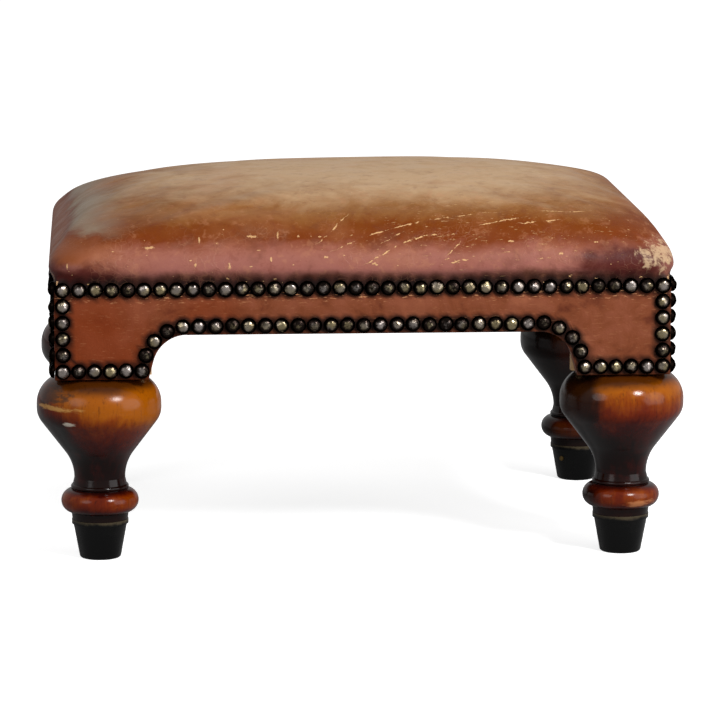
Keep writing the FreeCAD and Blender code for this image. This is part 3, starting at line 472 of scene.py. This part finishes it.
finish = {
    "seat_leather": antiqued_seat_leather(),
    "border_leather": border_leather(),
    "mahogany": turned_mahogany(),
    "antique_brass": old_nail_brass(),
    "blackened_brass": blackened_brass(),
    "beech": plain_wood("raw_beech", tone(206, 170, 126), tone(168, 124, 84), (2, 2, 12)),
    "dowel_beech": plain_wood("beech_dowel", tone(212, 178, 134), tone(176, 134, 92), (16, 2, 16)),
    "insert_brass": metal("insert_brass", tone(190, 154, 84), tone(150, 116, 60), 0.25),
    "pin_brass": metal("pin_brass", tone(120, 98, 60), tone(60, 46, 30), 0.35),
    "steel": metal("screw_steel", tone(150, 150, 150), tone(98, 98, 100), 0.3),
    "blued_steel": metal("blued_steel", tone(52, 56, 66), tone(34, 34, 38), 0.35),
    "jute": woven("jute_webbing", 0.0021, tone(176, 142, 98), tone(120, 92, 58)),
    "hessian_cloth": woven("hessian_cloth", 0.0018, tone(170, 136, 90), tone(104, 78, 46)),
    "black_cloth": woven("black_lining_cloth", 0.0011, tone(40, 38, 37), tone(16, 15, 15)),
    "stuffing": fibre("curled_hair", tone(96, 72, 52), tone(36, 26, 20), 160),
    "wadding_felt": fibre("wadding_felt", tone(226, 218, 200), tone(182, 172, 152), 260),
}

for part in frame["record"]["subparts"]:
    node = frame["nodes"][part["node"]]
    node.data.materials.clear()
    node.data.materials.append(finish[part["material_slot"]])


# seat

def seat_ring(step):
    """Half sizes, corner radius and height of a ring of the dome, counted in from the widest one."""
    angle = min(step / RINGS_UP, 1) * math.pi / 2
    share = max(step - RINGS_UP, 0) / RINGS_IN
    lie = 1 - math.cos(angle)
    inset = SHOULDER_IN * lie + (EDGE_Y - SHOULDER_IN) * share
    left = 1 - inset / EDGE_Y
    height = EDGE_Z + SHOULDER_UP * math.sin(angle) + CROWN_UP * (1 - left * left)
    half_y = EDGE_Y - inset
    corner = half_y * min(0.95, 0.12 + 0.63 * lie + 0.1 * share)
    return EDGE_X - inset, half_y, corner, height


def on_rounded(half_x, half_y, corner, index_x, index_y, reach_x, reach_y):
    """The point of a rounded rectangle that matches a point of a square grid's ring."""
    corner = min(corner, half_x, half_y)
    def along(half, index, reach):
        run = (half - corner) + corner * math.pi / 4
        travel = abs(index) / reach * run if reach else 0
        sign = 1 if index >= 0 else -1
        if travel <= half - corner or corner < 1e-6:
            return sign * travel, 0.0
        turn = (travel - (half - corner)) / corner
        return sign * (half - corner + corner * math.sin(turn)), corner * (1 - math.cos(turn))
    if abs(index_y) >= reach_y:
        x, back = along(half_x, index_x, reach_x)
        return x, math.copysign(half_y - back, index_y) if reach_y else 0.0
    y, back = along(half_y, index_y, reach_y)
    return math.copysign(half_x - back, index_x), y


def ring_travel():
    """Distance over the leather from the nails to each ring."""
    travel = [TO_NAILS]
    for step in range(1, DEEP + 1):
        before, after = seat_ring(step - 1), seat_ring(step)
        travel.append(travel[-1] + math.hypot(after[0] - before[0], after[3] - before[3]))
    return travel


def grow_seat():
    """The closed form of the seat, with its flat pattern as a map on it."""
    travel = ring_travel()
    reach = travel[-1]
    points, pattern, index = [], [], {}
    for i in range(-WIDE, WIDE + 1):
        for k in range(-DEEP, DEEP + 1):
            step = min(WIDE - abs(i), DEEP - abs(k))
            half_x, half_y, corner, height = seat_ring(step)
            x, y = on_rounded(half_x, half_y, corner, i, k, WIDE - step, DEEP - step)
            share = corner / half_y if half_y > 1e-6 else 0
            flat_y = reach - travel[step]
            flat = on_rounded(flat_y + HIDE_LONGER, flat_y, flat_y * share, i, k, WIDE - step, DEEP - step)
            index[i, k] = len(points)
            points.append((x, y, height))
            pattern.append(flat)
    faces = []
    for i in range(-WIDE, WIDE):
        for k in range(-DEEP, DEEP):
            faces.append((index[i, k], index[i + 1, k], index[i + 1, k + 1], index[i, k + 1]))
    rim = [(i, -DEEP) for i in range(-WIDE, WIDE)] + [(WIDE, k) for k in range(-DEEP, DEEP)]
    rim += [(i, DEEP) for i in range(WIDE, -WIDE, -1)] + [(-WIDE, k) for k in range(DEEP, -DEEP, -1)]
    above = [index[spot] for spot in rim]
    # down over the rail to the nails, in under the edge and up inside the rail
    for half_add, height, corner, flat_out in (
            (0.0034, 0.1982, 0.0175, 0.0035), (0.0018, 0.1952, 0.0075, 0.0065),
            (0.00125, 0.192, 0.0042, 0.0095), (0.0015, 0.189, 0.0035, 0.0125),
            (0.0002, 0.189, 0.0022, 0.0135), (0.0001, 0.1952, 0.002, 0.0135),
            (-0.006, 0.1984, 0.002, 0.0135)):
        row = []
        for i, k in rim:
            x, y = on_rounded(HALF_LENGTH + half_add, HALF_DEPTH + half_add, corner, i, k, WIDE, DEEP)
            flat_y = reach - TO_NAILS + flat_out
            row.append(len(points))
            points.append((x, y, height))
            pattern.append(on_rounded(flat_y + HIDE_LONGER, flat_y, flat_y * 0.12, i, k, WIDE, DEEP))
        for here in range(len(rim)):
            after = (here + 1) % len(rim)
            faces.append((above[after], above[here], row[here], row[after]))
        above = row
    item = make("seat", points, faces)
    flat_map = item.data.uv_layers.new(name="hide")
    for corner in item.data.loops:
        flat_map.data[corner.index].uv = pattern[corner.vertex_index]
    item.data.update()
    return item


def make(name, points, faces):
    mesh = bpy.data.meshes.new(name)
    mesh.from_pydata(points, [], faces)
    mesh.update()
    item = bpy.data.objects.new(name, mesh)
    bpy.context.scene.collection.objects.link(item)
    return item


def points_of(item):
    co = np.empty(len(item.data.vertices) * 3)
    item.data.vertices.foreach_get("co", co)
    return co.reshape(-1, 3)


def put_points(item, co):
    item.data.vertices.foreach_set("co", co.ravel())
    item.data.update()


def flat_points(item):
    """Each point's place in the hide's flat pattern."""
    flat = np.zeros((len(item.data.vertices), 2))
    corners = np.empty(len(item.data.loops), dtype=int)
    item.data.loops.foreach_get("vertex_index", corners)
    uv = np.empty(len(item.data.loops) * 2)
    item.data.uv_layers["hide"].data.foreach_get("uv", uv)
    flat[corners] = uv.reshape(-1, 2)
    return flat


def smooth_step(value, low, high):
    share = np.clip((value - low) / (high - low), 0, 1)
    return share * share * (3 - 2 * share)


def stuff_seat(item):
    """The leather drawn tight over its stuffing, held at the nails."""
    start = points_of(item)
    lower = smooth_step(start[:, 2], 0.2, 0.222)
    inside = start.copy()
    normals = np.array([v.normal[:] for v in item.data.vertices])
    inside -= normals * (lower * 0.0028)[:, None]
    put_points(item, inside)
    held = item.vertex_groups.new(name="nailed")
    for vertex in item.data.vertices:
        if start[vertex.index, 2] < 0.1965:
            held.add([vertex.index], 1.0, "REPLACE")
    only(item)
    cloth = item.modifiers.new("stuffing", "CLOTH")
    settings = cloth.settings
    settings.quality = 6
    settings.mass = 0.4
    settings.tension_stiffness = 25
    settings.compression_stiffness = 12
    settings.shear_stiffness = 8
    settings.bending_stiffness = 4
    settings.air_damping = 6
    settings.use_pressure = True
    settings.uniform_pressure_force = 4.0
    settings.vertex_group_mass = "nailed"
    settings.effector_weights.gravity = 0
    cloth.collision_settings.use_collision = False
    cloth.collision_settings.use_self_collision = False
    for step in range(1, 21):
        bpy.context.scene.frame_set(step)
    bpy.ops.object.modifier_apply(modifier="stuffing")
    bpy.context.scene.frame_set(1)
    moved = points_of(item) - start
    far = np.linalg.norm(moved, axis=1)
    cap = 0.0035
    keep = np.where(far > cap, cap / np.maximum(far, 1e-9), 1.0)
    put_points(item, start + moved * (keep * lower)[:, None])
    item.vertex_groups.clear()


# Long creases of the seat, as lines on the hide's flat pattern.
CREASES = {
    "crease_a": [
        [(-0.035, -0.173), (-0.024, -0.162), (-0.0105, -0.142)],
        [(-0.0265, -0.18), (-0.014, -0.1735), (0, -0.167), (0.0127, -0.1615), (0.027, -0.1565),
         (0.042, -0.152), (0.0575, -0.1485), (0.0815, -0.145), (0.0975, -0.1435)],
        [(0.104, -0.1565), (0.12, -0.155), (0.136, -0.1535)],
        [(0.12, -0.1425), (0.134, -0.141), (0.142, -0.1395), (0.154, -0.1362)],
    ],
    "crease_b": [
        [(-0.002, -0.189), (0.0105, -0.183), (0.022, -0.1756), (0.0293, -0.1706), (0.0442, -0.1655),
         (0.059, -0.1657), (0.074, -0.1636)],
        [(0.056, -0.189), (0.0665, -0.187), (0.0765, -0.185)],
        [(0.12, -0.186), (0.1285, -0.1855), (0.137, -0.1843)],
    ],
    "crease_c": [
        [(0.011, -0.1726), (0.0192, -0.1674), (0.0273, -0.162)],
        [(0.059, -0.1836), (0.0636, -0.1775), (0.068, -0.171)],
        [(-0.2347, -0.1717), (-0.238, -0.181), (-0.2405, -0.192)],
        [(0.078, -0.158), (0.094, -0.1535), (0.112, -0.1495)],
    ],
}


def from_line(flat, line):
    """Signed distance of every point from a line of runs, and how far along it is, 0 to 1."""
    best = np.full(len(flat), 1.0)
    signed = np.full(len(flat), 1.0)
    along = np.zeros(len(flat))
    runs = [np.array(p) for p in line]
    lengths = [np.linalg.norm(b - a) for a, b in zip(runs, runs[1:])]
    total, done = sum(lengths), 0.0
    for a, b, length in zip(runs, runs[1:], lengths):
        way = (b - a) / length
        reach = np.clip((flat - a) @ way, 0, length)
        off = flat - (a + reach[:, None] * way)
        far = np.linalg.norm(off, axis=1)
        side = off[:, 1] * way[0] - off[:, 0] * way[1]
        nearer = far < best
        best[nearer] = far[nearer]
        signed[nearer] = np.copysign(far[nearer], side[nearer])
        along[nearer] = (done + reach[nearer]) / total
        done += length
    return signed, along


def paint(item, name, values):
    kind = "FLOAT" if values.ndim == 1 else "FLOAT_VECTOR"
    layer = item.data.attributes.new(name, kind, "POINT")
    layer.data.foreach_set("value" if kind == "FLOAT" else "vector", values.astype(np.float32).ravel())


def nail_spots(side):
    """Where the nails of one face stand: the tips of their heads."""
    axis, sign = SIDES[side]
    co = points_of(frame["nodes"][f"nails_{side}"])
    out = co[:, axis] * sign
    tips = co[out > out.max() - 3e-5]
    return np.unique(tips.round(4), axis=0)


SPOTS = {side: nail_spots(side) for side in SIDES}


def off_nails(points, spots):
    """Distance of every point from the nearest nail."""
    best = np.full(len(points), 1.0)
    for spot in spots:
        best = np.minimum(best, np.linalg.norm(points - spot, axis=1))
    return best


def shape_seat():
    item = grow_seat()
    stuff_seat(item)
    only(item)
    finer = item.modifiers.new("finer", "SUBSURF")
    finer.levels = finer.render_levels = 1
    bpy.ops.object.modifier_apply(modifier="finer")
    bm = bmesh.new()
    bm.from_mesh(item.data)
    bmesh.ops.holes_fill(bm, edges=[edge for edge in bm.edges if edge.is_boundary], sides=0)
    bm.to_mesh(item.data)
    bm.free()
    co = points_of(item)
    flat = flat_points(item)
    normals = np.array([v.normal[:] for v in item.data.vertices])
    # the seat has settled to the left
    lean = smooth_step(co[:, 2], 0.203, 0.24)
    shift = np.zeros_like(co)
    shift[:, 0] = 0.002 * lean
    shift[:, 2] = 0.0022 * lean * (co[:, 0] / EDGE_X) - 0.0004 * lean
    # creases
    for layer, lines in CREASES.items():
        near = np.full(len(flat), 1.0)
        pair = np.zeros((len(flat), 3))
        pair[:, 0] = 0.01
        for line in lines:
            signed, along = from_line(flat, line)
            closer = np.abs(signed) < near
            near[closer] = np.abs(signed[closer])
            ends = np.clip(np.minimum(along, 1 - along) * 6, 0, 1)
            strength = ends * smooth_step(np.abs(signed), 0.004, 0.0025)
            pair[closer, 0] = signed[closer]
            pair[closer, 1] = strength[closer]
        paint(item, layer, pair)
        groove = np.exp(-(pair[:, 0] / 0.0018) ** 2) * pair[:, 1]
        shift -= normals * (groove * 0.00035)[:, None]
    put_points(item, co + shift)
    co = points_of(item)
    top_row = np.concatenate([spots[np.abs(spots[:, 2] - NAIL_ROW) < 0.001] for spots in SPOTS.values()])
    near = off_nails(co, top_row)
    # dirt and painted shade near the top row of nails
    paint(item, "grime_and_shade", smooth_step(near, 0.0115, 0.0064))
    item.data.shade_smooth()
    item.data.materials.append(finish["seat_leather"])
    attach(item, "root")
    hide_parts("seat_cover", "wadding", "stuffing_pad")
    return item


shape_seat()


# leather borders

def arch_places(half):
    """Where the arch leaves the lug's foot, where it bends (across and up) and where it goes level."""
    lean_step = math.cos(ARCH_LEAN) - (1 - math.sin(ARCH_LEAN)) * math.tan(ARCH_LEAN)
    foot = half - LUG_WIDTH - LEATHER * lean_step
    bend_z = ARCH_TOP - ARCH_RADIUS * (1 - math.sin(ARCH_LEAN))
    bend = foot - (bend_z - LUG_FOOT) * math.tan(ARCH_LEAN)
    return foot, bend, bend_z, bend - ARCH_RADIUS * math.cos(ARCH_LEAN)


def arch_run(half, face_half):
    """The leather's lower edge from the left corner to the right, with the way into the leather."""
    foot, bend, bend_z, crown = arch_places(half)
    half_run = []
    for share in np.linspace(0, 1, 18)[:-1]:
        half_run.append((face_half + (foot - face_half) * share, LUG_FOOT, 0.0, 1.0))
    for share in np.linspace(0, 1, 6):
        tilt = min(1, share * 4)
        way = Vector((math.cos(ARCH_LEAN) * tilt, math.sin(ARCH_LEAN) * tilt + (1 - tilt)))
        way.normalize()
        half_run.append((foot + (bend - foot) * share, LUG_FOOT + (bend_z - LUG_FOOT) * share,
                         way.x, way.y))
    for share in np.linspace(0, 1, 12)[1:]:
        turn = ARCH_LEAN + (math.pi / 2 - ARCH_LEAN) * share
        half_run.append((crown + ARCH_RADIUS * math.cos(turn),
                         ARCH_TOP - ARCH_RADIUS * (1 - math.sin(turn)),
                         math.cos(turn), math.sin(turn)))
    count = max(4, round(crown / 0.0032))
    for share in np.linspace(1, 0, count + 1)[1:]:
        half_run.append((crown * share, ARCH_TOP, 0.0, 1.0))
    right = [np.array(p) for p in half_run]
    left = [p * np.array([-1, 1, -1, 1]) for p in right[:-1]]
    return left + right[::-1]


def on_side(side, along, out, up):
    """A point of one face of the stool, from its place along the face and its distance outwards."""
    axis, sign = SIDES[side]
    if axis == 1:
        return -sign * along, sign * out, up
    return sign * out, sign * along, up


def border_sheet(side):
    """A border: its face, the turn round the rail's lower edge and the strip under the rail."""
    lengthwise = side in ("front", "back")
    half = HALF_LENGTH if lengthwise else HALF_DEPTH
    face_half = HALF_LENGTH + LEATHER if lengthwise else HALF_DEPTH
    out = (HALF_DEPTH if lengthwise else HALF_LENGTH) + LEATHER
    run = arch_run(half, face_half)
    lengths = np.cumsum([0] + [np.linalg.norm(b[:2] - a[:2]) for a, b in zip(run, run[1:])])
    tops = -face_half + 2 * face_half * lengths / lengths[-1]
    rows, turn = 18, 0.0013
    columns = []
    for (x, z, way_x, way_z), top in zip(run, tops):
        low_x, low_z = x + way_x * turn, z + way_z * turn
        column = []
        for row in range(rows + 1):
            share = row / rows
            column.append((top + (low_x - top) * share, out, NAIL_ROW + (low_z - NAIL_ROW) * share))
        for angle in (30, 60, 90):
            a = math.radians(angle)
            rest = turn * (1 - math.sin(a))
            column.append((x + way_x * rest, out - turn * (1 - math.cos(a)), z + way_z * rest))
        for depth in (0.005, 0.009, 0.0135, TURN_UNDER):
            column.append((x, out - depth, z))
        columns.append(column)
    count = len(columns[0])
    points = [on_side(side, *spot) for column in columns for spot in column]
    faces = []
    for c in range(len(columns) - 1):
        for r in range(count - 1):
            a, b = c * count + r, (c + 1) * count + r
            faces.append((a, a + 1, b + 1, b))
    item = make(f"border_{side}", points, faces)
    co = points_of(item)
    near = off_nails(co, SPOTS[side])
    axis, sign = SIDES[side]
    on_face = co[:, axis] * sign > out - 0.0002
    puff = smooth_step(near, 0.005, 0.017) * 0.0007 - 0.0002
    wave = np.sin(co[:, 0] * 310 + co[:, 1] * 290 + co[:, 2] * 170) * 0.00012
    co[on_face, axis] += (sign * (puff + wave))[on_face]
    put_points(item, co)
    wall = item.modifiers.new("wall", "SOLIDIFY")
    wall.thickness = BORDER_THICK
    wall.offset = -1
    only(item)
    bpy.ops.object.modifier_apply(modifier="wall")
    co = points_of(item)
    # dirt and painted shade round the nails
    paint(item, "grime_and_shade", smooth_step(off_nails(co, SPOTS[side]), 0.0092, 0.0066))
    item.data.shade_smooth()
    item.data.materials.append(finish["border_leather"])
    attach(item, "root")
    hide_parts(f"{side}_border")
    return item


for side in SIDES:
    border_sheet(side)


# nails

def forge_nail(number):
    """One hammered nail head on the origin, facing up."""
    local = np.random.default_rng(100 + number)
    deselect()
    bpy.ops.mesh.primitive_uv_sphere_add(segments=14, ring_count=10, radius=NAIL_RADIUS, location=(0, 0, 0))
    item = bpy.context.object
    item.name = f"nail_pattern_{number}"
    bpy.ops.object.mode_set(mode="EDIT")
    bpy.ops.mesh.select_all(action="SELECT")
    bpy.ops.mesh.bisect(plane_co=(0, 0, 0), plane_no=(0, 0, 1), use_fill=True, clear_inner=True)
    bpy.ops.mesh.select_all(action="SELECT")
    bpy.ops.transform.resize(value=(1, 1, NAIL_RISE / NAIL_RADIUS))
    bpy.ops.mesh.normals_make_consistent(inside=False)
    bpy.ops.object.mode_set(mode="OBJECT")
    co = points_of(item)
    half_sizes = np.array([NAIL_RADIUS, NAIL_RADIUS, NAIL_RISE])
    # bright top of the dome: worn metal and a painted highlight
    worn = smooth_step(co[:, 2] / NAIL_RISE, 0.8, 0.96)
    # hammer marks: three flats struck on the dome
    for _ in range(3):
        lean, turn = local.uniform(0.1, 0.75), local.uniform(0, 2 * math.pi)
        way = np.array([math.sin(lean) * math.cos(turn), math.sin(lean) * math.sin(turn), math.cos(lean)])
        unit = co / half_sizes
        limit = local.uniform(0.93, 0.975)
        over = np.clip(unit @ way - limit, 0, None)
        co = (unit - way * over[:, None]) * half_sizes
        worn = np.maximum(worn, smooth_step(over, 0.0, 0.05) * local.uniform(0.3, 0.8))
    co[:, :2] *= 1 + local.uniform(-0.02, 0.02)
    co[:, 2] = np.maximum(co[:, 2], 0)
    put_points(item, co)
    paint(item, "worn", worn)
    return item


def nail_row(side, patterns):
    """All nails of one face as one piece, each a pattern turned, tilted and worn by chance."""
    axis, sign = SIDES[side]
    local = np.random.default_rng({"front": 21, "back": 22, "left": 23, "right": 24}[side])
    out = np.zeros(3)
    out[axis] = sign
    along = np.cross([0, 0, 1], out)
    up = np.array([0, 0, 1.0])
    all_points, all_faces, all_worn = [], [], []
    shapes = []
    for pattern in patterns:
        worn = np.empty(len(pattern.data.vertices))
        pattern.data.attributes["worn"].data.foreach_get("value", worn)
        shapes.append((points_of(pattern), [tuple(p.vertices) for p in pattern.data.polygons], worn))
    for spot in SPOTS[side]:
        co, faces, worn = shapes[local.integers(len(shapes))]
        spin = local.uniform(0, 2 * math.pi)
        size = local.uniform(0.955, 1.0)
        turned = co.copy() * size
        c, s = math.cos(spin), math.sin(spin)
        flat_x = turned[:, 0] * c - turned[:, 1] * s
        flat_y = turned[:, 0] * s + turned[:, 1] * c
        tip = turned[:, 2] * local.uniform(0.93, 1.0)
        lean_x, lean_y = local.normal(0, 0.045, 2)
        tip = tip + (flat_x * lean_x + flat_y * lean_y) * (turned[:, 2] > 1e-5)
        slip = local.normal(0, 0.00016, 2)
        base = spot - out * NAIL_FOOT
        placed = base + np.outer(flat_x + slip[0], along) + np.outer(flat_y + slip[1], up)
        placed += np.outer(tip - 0.0002, out)
        offset = sum(len(p) for p in all_points)
        all_points.append(placed)
        all_faces += [tuple(v + offset for v in face) for face in faces]
        all_worn.append(np.clip(worn * local.uniform(0.55, 1.15), 0, 1))
    item = make(f"hammered_nails_{side}", np.concatenate(all_points).tolist(), all_faces)
    paint(item, "worn", np.concatenate(all_worn))
    only(item)
    bpy.ops.object.shade_smooth_by_angle(angle=math.radians(40))
    item.data.materials.append(finish["antique_brass"])
    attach(item, "root")
    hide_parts(f"nails_{side}")
    return item


patterns = [forge_nail(number) for number in range(6)]
for side in SIDES:
    nail_row(side, patterns)
for pattern in patterns:
    bpy.data.objects.remove(pattern)


# cloths under the seat

def cloth_sheet(name, half_x, half_y, height, thick, sag, slot, node, corner=None):
    """A cloth tacked flat to the rails that hangs a little in the middle."""
    deselect()
    bpy.ops.mesh.primitive_grid_add(x_subdivisions=72, y_subdivisions=58, size=2, location=(0, 0, 0))
    item = bpy.context.object
    item.name = name
    item.data.name = name
    co = points_of(item) * np.array([half_x, half_y, 1])
    put_points(item, co)
    if corner:
        tab_x, tab_y, in_x, in_y, notch, blunt = corner
        bpy.ops.object.mode_set(mode="EDIT")
        cuts = []
        for sign in (-1, 1):
            for x, y in ((tab_x, tab_y), (in_x, in_y), (in_x - notch, in_y - notch),
                         (in_x - blunt, in_y - blunt)):
                cuts += [((sign * x, 0, 0), (1, 0, 0)), ((0, sign * y, 0), (0, 1, 0))]
            for other in (-1, 1):
                cuts.append(((sign * (in_x - notch), other * (in_y - blunt), 0),
                             (sign * 1.0, other * 1.0, 0)))
        for spot, way in cuts:
            bpy.ops.mesh.select_all(action="SELECT")
            bpy.ops.mesh.bisect(plane_co=spot, plane_no=way, use_fill=False)
        bm = bmesh.from_edit_mesh(item.data)
        gone = []
        for face in bm.faces:
            middle = face.calc_center_median()
            x, y = abs(middle.x), abs(middle.y)
            beyond_tab = (x > tab_x and y > in_y) or (y > tab_y and x > in_x)
            in_notch = x > in_x - notch and y > in_y - notch
            past_line = x + y > (in_x - notch) + (in_y - blunt)
            if beyond_tab or (in_notch and past_line):
                gone.append(face)
        bmesh.ops.delete(bm, geom=gone, context="FACES")
        bmesh.update_edit_mesh(item.data)
        bpy.ops.mesh.select_all(action="SELECT")
        bpy.ops.mesh.remove_doubles(threshold=0.00005)
        bpy.ops.object.mode_set(mode="OBJECT")
    co = points_of(item)
    bowl = np.clip(1 - (co[:, 0] / (half_x - 0.02)) ** 4, 0, 1)
    bowl = bowl * np.clip(1 - (co[:, 1] / (half_y - 0.02)) ** 4, 0, 1)
    ripple = np.sin(co[:, 0] * 95 + np.sin(co[:, 1] * 40) * 1.4) * np.sin(co[:, 1] * 70 + co[:, 0] * 22)
    co[:, 2] = height - bowl * (sag + ripple * sag * 0.18)
    put_points(item, co)
    only(item)
    wall = item.modifiers.new("wall", "SOLIDIFY")
    wall.thickness = thick
    wall.offset = 1
    bpy.ops.object.modifier_apply(modifier="wall")
    bpy.ops.object.mode_set(mode="EDIT")
    bpy.ops.mesh.select_all(action="SELECT")
    bpy.ops.mesh.normals_make_consistent(inside=False)
    bpy.ops.object.mode_set(mode="OBJECT")
    item.data.shade_smooth()
    item.data.materials.append(finish[slot])
    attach(item, "root")
    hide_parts(node)
    return item


crown_x = arch_places(HALF_LENGTH)[3]
crown_y = arch_places(HALF_DEPTH)[3]
cloth_sheet("lining_cloth", HALF_LENGTH - 0.004, HALF_DEPTH - 0.004, 0.157, 0.0007, 0.0016,
            "black_cloth", "dust_cover",
            corner=(crown_x, crown_y, 0.187, 0.143, 0.0445, 0.0085))
cloth_sheet("base_hessian", HALF_LENGTH - 0.005, HALF_DEPTH - 0.005, 0.19742, 0.0007, 0.0,
            "hessian_cloth", "hessian")


# floor, light and camera

MIRRORED = 0.08                 # share of the white ground and sky that shines on polish and metal


def math_node(tree, operation, first, second):
    node = tree.nodes.new("ShaderNodeMath")
    node.operation = operation
    for socket, value in zip(node.inputs, (first, second)):
        if isinstance(value, float):
            socket.default_value = value
        else:
            tree.links.new(value, socket)
    return node.outputs[0]


def seen_share(tree):
    """1 where the camera looks straight or through glass, a little in reflections, 0 for light."""
    path = tree.nodes.new("ShaderNodeLightPath").outputs
    mirrored = math_node(tree, "MULTIPLY", path["Is Glossy Ray"], MIRRORED)
    seen = math_node(tree, "MAXIMUM", path["Is Camera Ray"], mirrored)
    return math_node(tree, "MAXIMUM", seen, path["Is Transmission Ray"])


def studio_floor():
    deselect()
    bpy.ops.mesh.primitive_plane_add(size=24, location=(0, 0, 0))
    floor = bpy.context.object
    floor.name = "studio_floor"
    material = bpy.data.materials.new("pale_floor")
    material.use_nodes = True
    tree = material.node_tree
    shader = tree.nodes["Principled BSDF"]
    shader.inputs["Roughness"].default_value = 0.9
    shader.inputs["Specular IOR Level"].default_value = 0.0
    shader.inputs["Emission Color"].default_value = (1, 1, 1, 1)
    seen = seen_share(tree)
    glow = math_node(tree, "MULTIPLY", seen, 0.74)
    tree.links.new(glow, shader.inputs["Emission Strength"])
    pale = tree.nodes.new("ShaderNodeMix")
    pale.data_type = "RGBA"
    tree.links.new(seen, pale.inputs[0])
    pale.inputs[6].default_value = (0.3, 0.3, 0.3, 1)
    pale.inputs[7].default_value = (0.8, 0.8, 0.8, 1)
    tree.links.new(pale.outputs[2], shader.inputs["Base Color"])
    floor.data.materials.append(material)


def soft_lamp(name, place, aim, size, watts):
    deselect()
    bpy.ops.object.light_add(type="AREA", location=place)
    lamp = bpy.context.object
    lamp.name = name
    lamp.data.shape = "DISK"
    lamp.data.size = size
    lamp.data.energy = watts
    lamp.rotation_euler = (Vector(aim) - Vector(place)).to_track_quat("-Z", "Y").to_euler()


def studio_sky():
    world = bpy.data.worlds.new("studio")
    bpy.context.scene.world = world
    world.use_nodes = True
    tree = world.node_tree
    sky = tree.nodes["Background"]
    sky.inputs["Color"].default_value = (1, 1, 1, 1)
    seen = seen_share(tree)
    level = tree.nodes.new("ShaderNodeMapRange")
    tree.links.new(seen, level.inputs["Value"])
    level.inputs["To Min"].default_value = 0.4
    level.inputs["To Max"].default_value = 1.0
    tree.links.new(level.outputs[0], sky.inputs["Strength"])


studio_floor()
studio_sky()
soft_lamp("key", (1.15, -1.8, 1.75), (0, 0, 0.15), 0.62, 54)
soft_lamp("fill", (-1.6, -1.6, 1.1), (0, 0, 0.15), 1.2, 9)
soft_lamp("side", (1.7, -1.1, 0.5), (0, 0, 0.05), 1.5, 13)

deselect()
bpy.ops.object.camera_add(location=(-0.1788, -2.9841, 0.5926),
                          rotation=(math.radians(90 - 9.11), 0, math.radians(-3.574)))
camera = bpy.context.object
camera.data.lens = 211.05
camera.data.sensor_width = 36
bpy.context.scene.camera = camera
bpy.context.scene.view_settings.view_transform = "Standard"
